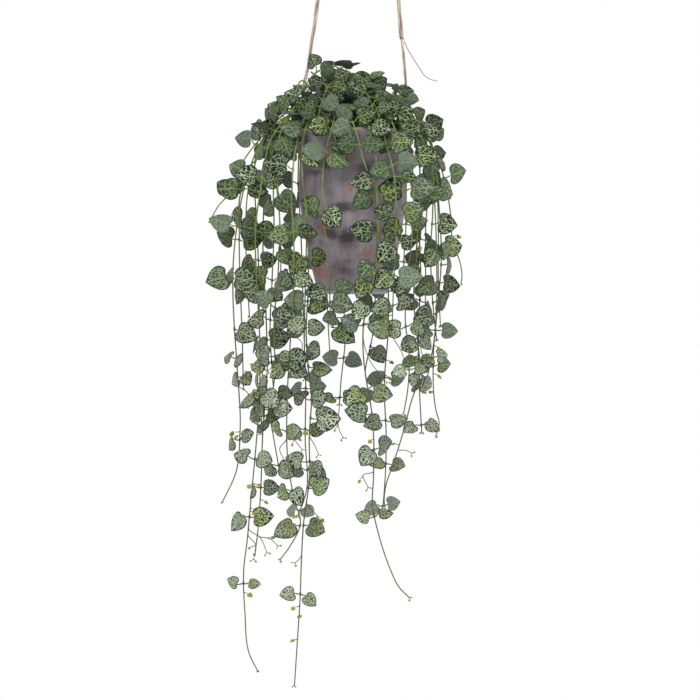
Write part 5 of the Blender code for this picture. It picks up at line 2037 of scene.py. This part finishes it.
@dataclass(frozen=True)
class Soil:
    """The potting mix: a crumbled domed fill, with bits of bark on it."""

    form: PotForm
    sides: int = 48
    cuts: int = 7
    side_gap: float = 0.6
    floor_gap: float = 1.0
    bend_height: float = 60.0
    crumble: float = 1.3
    bits: int = 170
    seed: int = 5

    def build(self) -> Piece:
        """The fill and its loose bits, as one piece.

        Returns:
            The piece.
        """
        rng = Random(self.seed)
        form = self.form
        foot = form.place(0, 0, -form.height)
        edge = form.radius(form.inner, form.soil_edge) - self.side_gap
        heights = (form.soil_edge, self.bend_height, form.floor + self.floor_gap)
        outline = [(height, form.radius(form.inner, height) - self.side_gap) for height in heights]
        soil = Bench.ring("potting_mix", self.sides, edge, foot, "TRIFAN")
        with Bench.editing(soil):
            bpy.ops.mesh.subdivide(number_cuts=self.cuts)
            bpy.ops.mesh.region_to_loop()
            Bench.turn(outline, foot)
            bpy.ops.mesh.edge_face_add()
        for vertex in soil.data.vertices:
            radius = hypot(vertex.co.x - foot.x, vertex.co.y) / MM
            if vertex.co.z > foot.z - 1 * MM:
                rough = rng.uniform(-1, 1) * self.crumble if radius < edge - 0.5 else 0.0
                vertex.co.z = foot.z + (form.soil_at(radius) + rough) * MM
            else:
                vertex.co.z += form.soil_edge * MM
        return self.dressed(soil, rng)

    def dressed(self, soil: Piece, rng: Random) -> Piece:
        """Strews bark over the fill and dresses both.

        Args:
            soil: The fill.
            rng: The draw for the bits.

        Returns:
            The fill and its bits as one finished piece.
        """
        bpy.ops.mesh.primitive_ico_sphere_add(subdivisions=1, radius=1.0)
        chip = Bench.named("bark_bit")
        pieces = [soil]
        for _ in range(self.bits):
            reach, angle = self.form.root_spread * 1.1 * sqrt(rng.random()), rng.uniform(0, 2 * pi)
            place = self.form.place(reach * cos(angle), reach * sin(angle),
                                    self.form.soil_at(reach) - self.form.height + 0.4)
            size = Vector((rng.uniform(0.8, 2.4), rng.uniform(0.7, 1.5), rng.uniform(0.4, 0.9))) * MM
            turn = Matrix.Rotation(rng.uniform(0, pi), 4, "Z")
            turn = turn @ Matrix.Rotation(rng.uniform(-0.5, 0.5), 4, "X")
            pieces.append(Bench.copy(chip, Matrix.Translation(place) @ turn @ Matrix.Diagonal((*size, 1))))
        bpy.data.objects.remove(chip)
        soil = Bench.join(pieces, "potting_mix")
        Bench.smooth(soil, 60)
        soil.data.materials.append(EarthFinish().material())
        return Bench.show(soil, Slot.SOIL, "soil")


def tapered(radius: float, first: float, fall: float, count: int) -> list:
    """Radii along a strand of count points: a first share of a radius, falling evenly by a further one."""
    return [radius * (first - fall * i / count) for i in range(count)]


class Strands:
    """Round or flat strands along lines, made as one curve and turned into one mesh."""

    # how far apart on the map the strands of a bundle start, in centimetres
    MAP_STEP = 7.0

    def __init__(self, name: str, level: int = 2, flat: float = 0.0) -> None:
        """An empty bundle.

        Args:
            name: The name of the piece.
            level: How round the strands are: they have 4 sides and 2 more for each level.
            flat: How much wider than thick they are, in millimetres to each side.
        """
        self.name = name
        self.curve = bpy.data.curves.new(name, "CURVE")
        self.curve.dimensions = "3D"
        self.curve.bevel_depth = MM
        self.curve.bevel_resolution = level
        self.curve.extrude = flat * MM
        self.curve.fill_mode = "FULL"

    def add(self, points: list, radii: object, tilts: list | None = None) -> None:
        """A strand.

        Args:
            points: The points of its centre line, in metres.
            radii: Its radius in millimetres, one number or one for each point.
            tilts: How far its flat side is turned at each point, in radians.
        """
        spline = self.curve.splines.new("POLY")
        spline.points.add(len(points) - 1)
        radii = [radii] * len(points) if isinstance(radii, (int, float)) else radii
        for corner, point, radius, tilt in zip(spline.points, points, radii, tilts or [0.0] * len(points)):
            corner.co = (*point, 1.0)
            corner.radius = radius
            corner.tilt = tilt

    def mesh(self, material: Material, degrees: float = 60) -> Piece:
        """Turns the bundle into a mesh with its lengthwise map.

        Args:
            material: Its finish.
            degrees: The angle from which an edge stays sharp.

        Returns:
            The piece.
        """
        counts = [len(spline.points) for spline in self.curve.splines]
        piece = bpy.data.objects.new(self.name, self.curve)
        bpy.context.scene.collection.objects.link(piece)
        Bench.take(piece)
        bpy.ops.object.convert(target="MESH")
        piece = Bench.named(self.name)
        piece.data.materials.clear()
        piece.data.materials.append(material)
        self.lay_map(piece.data, counts)
        with Bench.editing(piece):
            bpy.ops.mesh.fill_holes(sides=0)
        Bench.smooth(piece, degrees)
        return piece

    def lay_map(self, mesh: bpy.types.Mesh, counts: list) -> None:
        """The map named strand: the length along each strand in centimetres, and the share round it.

        Args:
            mesh: The bundle's mesh, ring after ring.
            counts: How many rings each strand has.
        """
        sides = len(mesh.vertices) // sum(counts)
        ring, share = [], []
        for order, count in enumerate(counts):
            start = mesh.vertices[len(ring)].co
            length, last = self.MAP_STEP * order, start
            for i in range(count):
                here = mesh.vertices[len(ring)].co
                length += (here - last).length / (10 * MM)
                last = here
                ring += [length] * sides
                share += [k / sides for k in range(sides)]
        layer = Bench.new_map(mesh, "strand")
        for face in mesh.polygons:
            shares = [share[i] for i in face.vertices]
            wraps = max(shares) - min(shares) > 0.5
            for loop, vertex, value in zip(face.loop_indices, face.vertices, shares):
                layer.data[loop].uv = (ring[vertex], value + 1.0 if wraps and value < 0.5 else value)


@dataclass(frozen=True)
class Sling:
    """The sling and what is on it: flat fibres laid round each other, end knots, a tie and stray hairs."""

    form: SlingForm
    pot: PotForm
    fibres: int = 3
    turn_length: float = 170.0
    spread: float = 0.85
    half_width: float = 1.7
    half_thickness: float = 0.55
    step: float = 3.0
    hairs: int = 34
    tie_turns: float = 2.0
    knot_points: int = 48
    knot_radius: float = 1.55
    frays: int = 9
    seed: int = 11

    def line(self) -> Line:
        """The cord's centre line."""
        return Line(smooth_curve(self.form.route(self.pot)))

    def fullness(self, line: Line, along: float) -> float:
        """How full the cord is: full over the arch, fullest just above the tie, thinner towards the bores.

        Args:
            line: Its centre line.
            along: The length along it.

        Returns:
            The share of its full spread.
        """
        point = line.at(along)
        height = point.z / MM - self.form.tie_z
        if point.x < 0:
            return 0.78 + 0.36 * min(max((height + 60) / 90, 0.0), 1.0)
        swell = 0.30 * exp(-((height - 9) / 10) ** 2) if height > 0 else 0.0
        return 0.78 + 0.30 * min(max((height + 3) / 9, 0.0), 1.0) + swell

    def beside(self, line: Line, along: float, angle: float, reach: float) -> Vector:
        """A point beside the centre line: at an angle round it, and a reach away in millimetres.

        Args:
            line: The centre line.
            along: The length along it.
            angle: The angle in radians.
            reach: The reach.

        Returns:
            The point.
        """
        back = Vector((0, 1, 0))
        over = line.tangent(along).cross(back).normalized()
        return line.at(along) + (back * cos(angle) + over * sin(angle)) * (reach * MM)

    def cord(self, line: Line) -> Piece:
        """The cord itself.

        Args:
            line: The cord's centre line.

        Returns:
            The cord.
        """
        bundle = Strands("sling_cord", level=1, flat=self.half_width)
        count = round(line.length / (self.step * MM))
        places = [line.length * i / count for i in range(count + 1)]
        for order in range(self.fibres):
            turns = [2 * pi * (along / (self.turn_length * MM) + order / self.fibres) for along in places]
            points = [self.beside(line, along, turn, self.spread * self.fullness(line, along))
                      for along, turn in zip(places, turns)]
            radii = [self.half_thickness * self.fullness(line, along) for along in places]
            bundle.add(points, radii, [-turn for turn in turns])
        return bundle.mesh(FibreFinish().material("sling_fibre"))

    def tie(self, line: Line, tie_along: float) -> Piece:
        """The wraps round the right leg, with a crossing pass over them.

        Args:
            line: The cord's centre line.
            tie_along: The length along it at which the tie sits.

        Returns:
            The tie.
        """
        def pass_round(width: float, first: float, turn: float, reach: float, count: int) -> list:
            """Points round the leg, evenly along a turn.

            Args:
                width: How much of the leg they cover.
                first: The angle of the first point in radians.
                turn: The angle from there to the last one.
                reach: Their distance from the leg's centre line.
                count: How many steps lie between them.

            Returns:
                The points.
            """
            shares = [i / count for i in range(count + 1)]
            return [self.beside(line, tie_along + (share - 0.5) * width * MM, first + turn * share, reach)
                    for share in shares]

        wraps = Strands("tie_wraps", level=2)
        wraps.add(pass_round(3.2, 0.0, 2 * pi * self.tie_turns, 1.9, int(self.tie_turns * 12)), 0.34)
        wraps.add(pass_round(-4.6, pi - 1.7, 3.4, 2.2, 12), 0.36)
        return wraps.mesh(FibreFinish(pale=linear(140, 120, 104)).material("tie_fibre"))

    def strand(self, rng: Random) -> Piece:
        """The loose fibre that hangs from the tie, a little uneven.

        Args:
            rng: The draw for its bends.

        Returns:
            The fibre.
        """
        line = Line(smooth_curve([Vector((x * MM, 0.0, z * MM)) for x, z in self.form.strand_route]))
        loose = Strands("loose_fibre", level=1)
        points = line.even(2.0 * MM)
        thick = self.form.strand_diameter / 2
        radii = [thick * rng.uniform(0.9, 1.06) * (1.0 - 0.2 * i / len(points)) for i in range(len(points))]
        loose.add(points, radii)
        return loose.mesh(FibreFinish(pale=linear(120, 102, 92)).material("loose_fibre"))

    def stopper(self, name: str, side: int, rng: Random) -> Piece:
        """An end knot outside the pot's wall, with a frayed tail.

        Args:
            name: The name of the piece.
            side: -1 for the left knot and 1 for the right one.
            rng: The draw for the tail.

        Returns:
            The knot.
        """
        wall = self.pot.radius(self.pot.outer, self.pot.bore_height)
        wall += self.pot.knot_seat
        above = self.pot.bore_height - self.pot.height
        knot = Strands(name, level=3)
        points = []
        for i in range(self.knot_points + 1):
            t = 2 * pi * i / self.knot_points
            right, back, up = 3.1 - 1.25 * sin(3 * t), sin(t) + 2 * sin(2 * t), cos(t) - 2 * cos(2 * t)
            points.append(self.pot.place(side * (wall + right), back, above + up))
        knot.add(points, self.knot_radius)
        for _ in range(self.frays):
            angle, flare = rng.uniform(0, 2 * pi), rng.uniform(0.6, 2.6)
            tail = []
            for i in range(5):
                share = i / 4
                reach = 0.5 + flare * share
                tail.append(self.pot.place(side * (wall + 3.4 + 5.0 * share), reach * cos(angle),
                                           above + reach * sin(angle)))
            knot.add(tail, [0.4, 0.35, 0.28, 0.2, 0.12])
        return knot.mesh(FibreFinish().material(name + "_fibre"))

    def strays(self, line: Line, rng: Random) -> Piece:
        """The hairs that stand off the cord.

        Args:
            line: The cord's centre line.
            rng: The draw.

        Returns:
            The hairs as one piece.
        """
        hairs = Strands("stray_hairs", level=0)
        for _ in range(self.hairs):
            along = rng.uniform(0.16, 0.84) * line.length
            run = rng.choice((-1, 1)) * rng.uniform(6, 16) * MM
            angle, lift = rng.uniform(0, 2 * pi), rng.uniform(0.6, 2.2)
            points = [self.beside(line, along + run * i / 5, angle + 0.12 * i, 1.3 + lift * (i / 5) ** 1.7)
                      for i in range(6)]
            hairs.add(points, [0.16, 0.15, 0.14, 0.12, 0.1, 0.07])
        return hairs.mesh(FibreFinish().material("stray_fibre"))

    def build(self) -> None:
        """Every piece of the sling, declared as one cord with what is on it."""
        rng = Random(self.seed)
        line = self.line()
        tie_along = next(along for along, point in zip(line.along, line.points)
                         if point.x > 0 and along > line.length / 2 and point.z < self.form.tie_z * MM)
        cord = Bench.show(self.cord(line), Slot.FIBRE, "sling")
        on_it = [Bench.show(self.tie(line, tie_along), Slot.FIBRE, "sling_tie"),
                 Bench.show(self.strand(rng), Slot.FIBRE, "loose_strand"),
                 Bench.show(self.stopper("left_end_knot", -1, rng), Slot.FIBRE, "stopper_left"),
                 Bench.show(self.stopper("right_end_knot", 1, rng), Slot.FIBRE, "stopper_right"),
                 Bench.show(self.strays(line, rng), Slot.FIBRE)]
        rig.cord(cord, exit=line.points[0], length=line.length, diameter=self.form.diameter * MM,
                far_end="object", stiffness="limp", lay="taut", path=line.even(4 * MM), with_pieces=on_it)


class LeafForm(Enum):
    """How a blade is shaped: cupped across, drooping along, folded at the midrib and waved at its edge."""

    FLAT = (0.22, 0.06, 0.02, 0.006)
    CUPPED = (0.42, 0.10, 0.00, 0.010)
    FOLDED = (0.12, 0.12, 0.16, 0.012)
    WAVED = (0.26, 0.04, 0.04, 0.030)
    CURLED = (0.30, 0.22, 0.06, 0.014)


@dataclass(frozen=True)
class LeafMaster:
    """A blade of width 1 in one of the forms: its notch at the origin, its tip towards +Y, its face up."""

    form: LeafForm
    outline: tuple = ((0.0, 0.0), (0.08, -0.03), (0.17, -0.058), (0.27, -0.064), (0.37, -0.035),
                      (0.455, 0.05), (0.50, 0.19), (0.495, 0.34), (0.44, 0.49), (0.345, 0.63),
                      (0.22, 0.76), (0.09, 0.865), (0.0, 0.93))
    rings: tuple = (0.055, 0.11)
    edge_reach: float = 0.19
    thickness: float = 0.042

    def lift(self, x: float, y: float, edge: float) -> float:
        """How far the blade stands up at a place on it.

        Args:
            x: Right of the midrib.
            y: Towards the tip from the notch.
            edge: The distance from the edge.

        Returns:
            The height.
        """
        cup, droop, fold, wave = self.form.value
        ripple = wave * edge * sin(9.0 * atan2(x, y - 0.35) + 1.3)
        return -cup * x * x - droop * max(y, 0.0) ** 2 - fold * abs(x) + ripple - 0.012

    def build(self) -> Piece:
        """The blade, with its map, its edge values and both finishes' places.

        Returns:
            The blade.
        """
        loop = [*self.outline, *[(-x, y) for x, y in self.outline[-2:0:-1]]]
        bpy.ops.object.select_all(action="DESELECT")
        bpy.ops.mesh.primitive_circle_add(vertices=len(loop), radius=0.5, fill_type="NGON")
        leaf = Bench.named("leaf_" + self.form.name.lower())
        for vertex, (x, y) in zip(leaf.data.vertices, loop):
            vertex.co = (x, y, 0.0)
        with Bench.editing(leaf):
            bpy.ops.mesh.normals_make_consistent(inside=False)
            for ring in self.rings:
                bpy.ops.mesh.inset(thickness=ring)
            bpy.ops.mesh.poke()
        if leaf.data.polygons[0].normal.z < 0:
            leaf.data.flip_normals()
        self.shape(leaf, [Vector((x, y, 0.0)) for x, y in loop])
        return leaf

    def shape(self, leaf: Piece, loop: list) -> None:
        """The blade's map and edge values, then its bend and its thickness.

        Args:
            leaf: The flat blade.
            loop: The points of its outline.
        """
        mesh = leaf.data
        layer = Bench.new_map(mesh, "blade")
        for corner in mesh.loops:
            layer.data[corner.index].uv = mesh.vertices[corner.vertex_index].co.xy
        edge = mesh.attributes.new("edge", "FLOAT", "POINT")
        mesh.attributes.new("tone", "FLOAT", "POINT")
        for vertex in mesh.vertices:
            away = min(self.from_side(vertex.co, a, b) for a, b in zip(loop, [*loop[1:], loop[0]]))
            share = 1.0 - min(1.0, away / self.edge_reach)
            edge.data[vertex.index].value = share
            vertex.co.z = self.lift(vertex.co.x, vertex.co.y, share)
        leaf.data.materials.append(None)
        leaf.data.materials.append(None)
        Bench.finish_with(leaf, "SOLIDIFY", thickness=self.thickness, offset=0.0, material_offset=1)
        Bench.smooth(leaf, 50)

    @staticmethod
    def from_side(point: Vector, start: Vector, end: Vector) -> float:
        """A point's distance from one side of the outline.

        Args:
            point: The point.
            start: The side's start.
            end: The side's end.

        Returns:
            The distance.
        """
        flat, side = Vector((point.x, point.y, 0.0)), end - start
        share = min(max((flat - start).dot(side) / side.length_squared, 0.0), 1.0)
        return (flat - start - side * share).length


@dataclass(frozen=True)
class BudMaster:
    """A bud, 1 long: two rounded lobes at its base that narrow to a point towards +Y."""

    width: float = 0.86
    thickness: float = 0.50
    sides: int = 10
    rings: int = 7

    def build(self) -> Piece:
        """The bud.

        Returns:
            The bud, closed at both ends.
        """
        bpy.ops.object.select_all(action="DESELECT")
        bpy.ops.mesh.primitive_uv_sphere_add(segments=self.sides, ring_count=self.rings, radius=0.5,
                                             rotation=(pi / 2, 0, 0))
        bud = Bench.named("bud")
        Bench.settle(bud)
        for vertex in bud.data.vertices:
            x, y, z = vertex.co
            share = y + 0.5
            slim = 1.12 - 0.62 * share ** 1.6
            notch = 0.16 * (1 - abs(x) * 2) * max(0.0, 0.35 - share) / 0.35
            vertex.co = (x * self.width * 1.15 * slim, share + notch, z * self.thickness * slim)
        Bench.smooth(bud, 80)
        return bud


@dataclass(frozen=True)
class Foliage:
    """The stems with their petioles, leaves and buds, over the places that the growth settled."""

    growth: Growth
    stem_base: float = 0.82
    stem_tip: float = 0.60
    swelling: float = 0.55
    swelling_reach: float = 2.2
    step: float = 2.4
    buried: float = 5.0
    petiole: float = 0.70
    bud_size: float = 5.8
    tip_bud_size: float = 2.9
    size_shares: tuple = (0.85, 1.15)
    bud_on_shoot: float = 0.4
    tip_gap: float = 2.5
    shoot_radius: float = 0.48
    # how often each form of leaf is drawn
    form_weights: tuple = (4, 3, 2, 3, 2)
    # three places of each side shoot, right of the pot's axis and below its rim
    shoots: tuple = (
        (-98, 390, -91, 405, -85, 419), (-94, 396, -96, 412, -98, 426), (-83, 399, -81, 408, -75, 414),
        (-48, 416, -52, 424, -57, 429), (-37, 364, -35, 384, -36, 399), (11, 332, 10, 342, 15, 354),
        (47, 312, 52, 318, 58, 321), (-71, 224, -76, 233, -83, 239), (-87, 224, -92, 234, -103, 241),
        (-54, 196, -50, 212, -51, 224), (4, 196, 15, 226, 33, 251), (-59, 291, -59, 305, -50, 317),
        (-20, 285, -14, 300, -10, 308), (-33, 300, -38, 312, -34, 322), (-70, 300, -72, 316, -66, 330),
        (36, 200, 48, 222, 52, 236), (72, 190, 66, 214, 70, 232), (-110, 250, -104, 262, -106, 274))
    bud_reach: float = 14.0
    bud_places: tuple = (
        (-126, 300), (-115, 303), (-133, 323), (-99, 460), (-92, 489), (-62, 473), (-53, 480), (-61, 504),
        (-99, 378), (-96, 377), (-91, 351), (-101, 351), (-84, 370), (-74, 379), (-57, 381), (41, 396),
        (53, 415), (40, 310), (17, 307), (36, 245), (41, 230), (17, 192), (26, 186), (32, 204), (20, 142),
        (28, 133), (65, 117), (84, 215), (76, 222), (78, 228), (79, 259), (85, 243), (-34, 272), (-24, 269),
        (-45, 298), (-32, 329), (-42, 330), (-96, 257), (109, 103))
    seed: int = 23

    def stem_radius(self, stem: Stem, along: float) -> float:
        """How thick a stem is: slimmer to its tip, swollen where leaves grow.

        Args:
            stem: The stem.
            along: The length along it.

        Returns:
            Its radius in millimetres.
        """
        radius = self.stem_base + (self.stem_tip - self.stem_base) * along / stem.line.length
        near = min((abs(along - node.along) for node in stem.nodes), default=1.0)
        reach = self.swelling_reach * MM
        return radius + self.swelling * max(0.0, 1.0 - (near / reach) ** 2)

    def stem_places(self, stem: Stem) -> list:
        """Where the mesh of a stem has its rings.

        Args:
            stem: The stem.

        Returns:
            The lengths along it.
        """
        start = (PotForm.hole_depth - self.buried) * MM
        reach, end = self.swelling_reach * MM, stem.line.length - self.tip_gap * MM
        stops = [start]
        for node in stem.nodes:
            stops += [node.along + reach * share for share in (-1, -0.5, 0, 0.5, 1)]
        stops.append(end)
        places = [start]
        for stop in stops:
            stop = min(stop, end)
            if stop <= places[-1] + 0.2 * MM:
                continue
            count = max(1, round((stop - places[-1]) / (self.step * MM)))
            first = places[-1]
            places += [first + (stop - first) * (i + 1) / count for i in range(count)]
        return places

    def petiole_line(self, leaf: Leaf) -> list:
        """The way of a petiole: out of the stem, bowed a little, and into the notch from behind.

        Args:
            leaf: Its leaf.

        Returns:
            The points of its centre line.
        """
        way = leaf.base - leaf.root
        sag = (leaf.normal * -0.10 + Vector((0, 0, -0.06))) * way.length
        inside = leaf.base + leaf.axis * (0.06 * leaf.width) - leaf.normal * (0.2 * MM)
        neck = leaf.base - leaf.axis * (0.9 * MM) - leaf.normal * (0.35 * MM)
        return smooth_curve([leaf.root, leaf.root + way * 0.45 + sag, neck, inside], step=1.3 * MM)

    def stem_piece(self, stem: Stem, buds: list, shoots: list, rng: Random) -> Piece:
        """A stem, its petioles, its thin side shoots and its buds as one piece.

        Args:
            stem: The stem.
            buds: The buds that hang from it, each a root, a direction and a size.
            shoots: The lines of its side shoots.
            rng: The draw for the buds.

        Returns:
            The piece, without its finish's slot.
        """
        bundle = Strands(stem.name + "_stem", level=2)
        places = self.stem_places(stem)
        radii = [self.stem_radius(stem, along) for along in places]
        bundle.add([stem.line.at(along) for along in places], radii)
        for leaf in stem.leaves():
            points = self.petiole_line(leaf)
            bundle.add(points, tapered(self.petiole, 1.0, 0.25, len(points)))
        pieces = []
        for root, way, size in buds:
            stalk = (rng.uniform(3.0, 5.5) if size > self.tip_bud_size * 1.2 else rng.uniform(1.2, 2.2)) * MM
            tip = root + way * stalk
            bundle.add([root, root.lerp(tip, 0.5) + Vector((0, 0, -0.3 * MM)), tip], [0.5, 0.42, 0.38])
            pieces.append(self.hang_bud(tip, way, size, rng))
        for path in shoots:
            bundle.add(path, tapered(self.shoot_radius, 1.1, 0.3, len(path)))
        piece = bundle.mesh(self.stem_material, 70)
        if pieces:
            name = piece.name
            piece = Bench.join([piece, *pieces], name)
        return piece

    @property
    def stem_material(self) -> Material:
        """The finish that all the stems share."""
        return bpy.data.materials.get("stem") or StemFinish().material()

    def hang_bud(self, place: Vector, way: Vector, size: float, rng: Random) -> Piece:
        """A bud at the end of its stalk.

        Args:
            place: Where the stalk ends.
            way: The stalk's direction.
            size: The bud's length.
            rng: The draw for its turn.

        Returns:
            The bud.
        """
        ahead = (way + Vector((0, 0, -0.5))).normalized()
        turn = ahead.to_track_quat("Y", "Z").to_matrix().to_4x4()
        spin = Matrix.Rotation(rng.uniform(-0.8, 0.8), 4, "Y")
        scale = Matrix.Scale(size * MM, 4)
        return Bench.copy(bpy.data.objects["bud"], Matrix.Translation(place) @ turn @ spin @ scale)

    def share_buds(self, rng: Random) -> list:
        """Shares out the buds.

        Args:
            rng: The draw for their sizes.

        Returns:
            The buds of every stem, each a root on it, a direction and a size in millimetres.
        """
        shared = [[] for _ in self.growth.stems]
        pot = self.growth.pot
        for right, drop in self.bud_places:
            goal = pot.place(right, 0.0, -drop)
            found = self.nearest(goal)
            if found:
                point = self.growth.stems[found[0]].line.at(found[1])
                way = Vector((goal.x - point.x, -3.0 * MM, goal.z - point.z - 1.0 * MM)).normalized()
                shared[found[0]].append((point, way, self.bud_size * rng.uniform(*self.size_shares)))
        for stem in self.growth.stems:
            line = stem.line
            tip, ahead = line.at(line.length - self.tip_gap * MM), line.tangent(line.length)
            out = self.growth.outward(tip)
            beside = ahead.cross(out).normalized()
            for side in (-1, 1):
                way = (ahead * 0.5 + beside * side * 0.9 + out * rng.uniform(-0.3, 0.4)).normalized()
                shared[stem.number].append((tip, way, self.tip_bud_size * rng.uniform(*self.size_shares)))
        return shared

    def nearest(self, goal: Vector) -> tuple:
        """Finds the stem nearest to a place as seen from the front, the foremost first.

        Args:
            goal: The place.

        Returns:
            The stem's number and the length along it, or nothing where none is near.
        """
        near = self.growth.near(goal, self.bud_reach * MM)
        return min(((away + point.y * 0.35, stem.number, along) for away, stem, along, point in near),
                   default=())[1:]

    def share_shoots(self, shared: list, rng: Random) -> list:
        """Shares out the side shoots.

        Args:
            shared: The buds of every stem, to which those of the shoots are added.
            rng: The draw for the shoots and their buds.

        Returns:
            The lines of the shoots of every stem.
        """
        lines = [[] for _ in self.growth.stems]
        pot = self.growth.pot
        for start_right, start_drop, middle_right, middle_drop, end_right, end_drop in self.shoots:
            found = self.nearest(pot.place(start_right, 0.0, -start_drop))
            if not found:
                continue
            number, along = found
            line = self.growth.stems[number].line
            root = line.at(along)
            leaving = root + line.tangent(along) * (5 * MM)
            forward = Vector((0.0, root.y + rng.uniform(-9, -3) * MM, 0.0))
            middle = pot.place(middle_right, 0.0, -middle_drop) + forward
            end = pot.place(end_right, 0.0, -end_drop) + forward
            path = smooth_curve([root, leaving + Vector((0.0, -1.5 * MM, 0.0)), middle, end], step=2.5 * MM)
            lines[number].append(path)
            ahead = (path[-1] - path[-2]).normalized()
            beside = ahead.cross(Vector((0, -1, 0))).normalized()
            for side in (-1, 1):
                way = (ahead * 0.5 + beside * side * 0.9).normalized()
                shared[number].append((end, way, self.tip_bud_size * rng.uniform(*self.size_shares)))
                if rng.random() < self.bud_on_shoot:
                    spot = path[round(len(path) * 0.55)]
                    shared[number].append((spot, way, self.bud_size * rng.uniform(0.7, 1.0)))
        return lines

    def leaves_piece(self, stem: Stem, masters: dict, rng: Random) -> Piece:
        """All the leaves of a stem as one piece.

        Args:
            stem: The stem.
            masters: A blade in each form.
            rng: The draw for the leaves' forms, lengths and tones.

        Returns:
            The piece.
        """
        blades = []
        for leaf in stem.leaves():
            form = rng.choices(list(LeafForm), weights=self.form_weights)[0]
            stretch = Matrix.Diagonal((1.0, rng.uniform(0.97, 1.1), 1.0, 1.0))
            blade = Bench.copy(masters[form], leaf.frame() @ stretch)
            tones = [rng.random()] * len(blade.data.vertices)
            blade.data.attributes["tone"].data.foreach_set("value", tones)
            blades.append(blade)
        return Bench.join(blades, stem.name + "_leaves")

    def build(self) -> None:
        """Every stem and its leaves."""
        rng = Random(self.seed)
        masters = {form: LeafMaster(form).build() for form in LeafForm}
        blade, underside = BladeFinish().material(), UndersideFinish().material()
        for master in masters.values():
            master.data.materials[0] = blade
            master.data.materials[1] = underside
        bud = BudMaster().build()
        bud.data.materials.append(BudFinish().material())
        shared = self.share_buds(rng)
        shoots = self.share_shoots(shared, rng)
        slots = (Slot.MID_LEAF, Slot.LIGHT_LEAF, Slot.DARK_LEAF)
        for stem, buds, side_shoots in zip(self.growth.stems, shared, shoots):
            slot = slots[(stem.number + 1) % 3]
            Bench.show(self.stem_piece(stem, buds, side_shoots, rng), slot, stem.name)
            Bench.show(self.leaves_piece(stem, masters, rng), slot, stem.name)
        for master in [*masters.values(), bud]:
            bpy.data.objects.remove(master)


def main() -> None:
    """Every piece of the scene, and the record of its size."""
    logging.basicConfig(level=logging.INFO, format="%(message)s")
    solids_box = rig.bounds()
    log.info("the solids have %d nodes", len(frame["nodes"]))
    pot, sling = PotForm(), SlingForm()
    studio = Studio()
    studio.set_camera()
    studio.set_lights()
    studio.lay_floor()
    Sling(sling, pot).build()
    Pot(pot).build()
    Soil(pot).build()
    back = BackRow()
    vines = [*FRONT_VINES, *LEFT_VINES, *RIGHT_VINES, *CROWN_VINES]
    vines += [back.vine(index) for index in range(back.count)]
    growth = Growth(pot, sling, vines)
    Foliage(growth).build()
    log.info("%d leaves", sum(len(stem.leaves()) for stem in growth.stems))
    boxes = {"cad": [list(corner) for corner in solids_box],
             "visual": [list(corner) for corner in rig.bounds()]}
    SIZE_FILE.write_text(json.dumps(boxes))


if __name__ == "__main__":
    main()
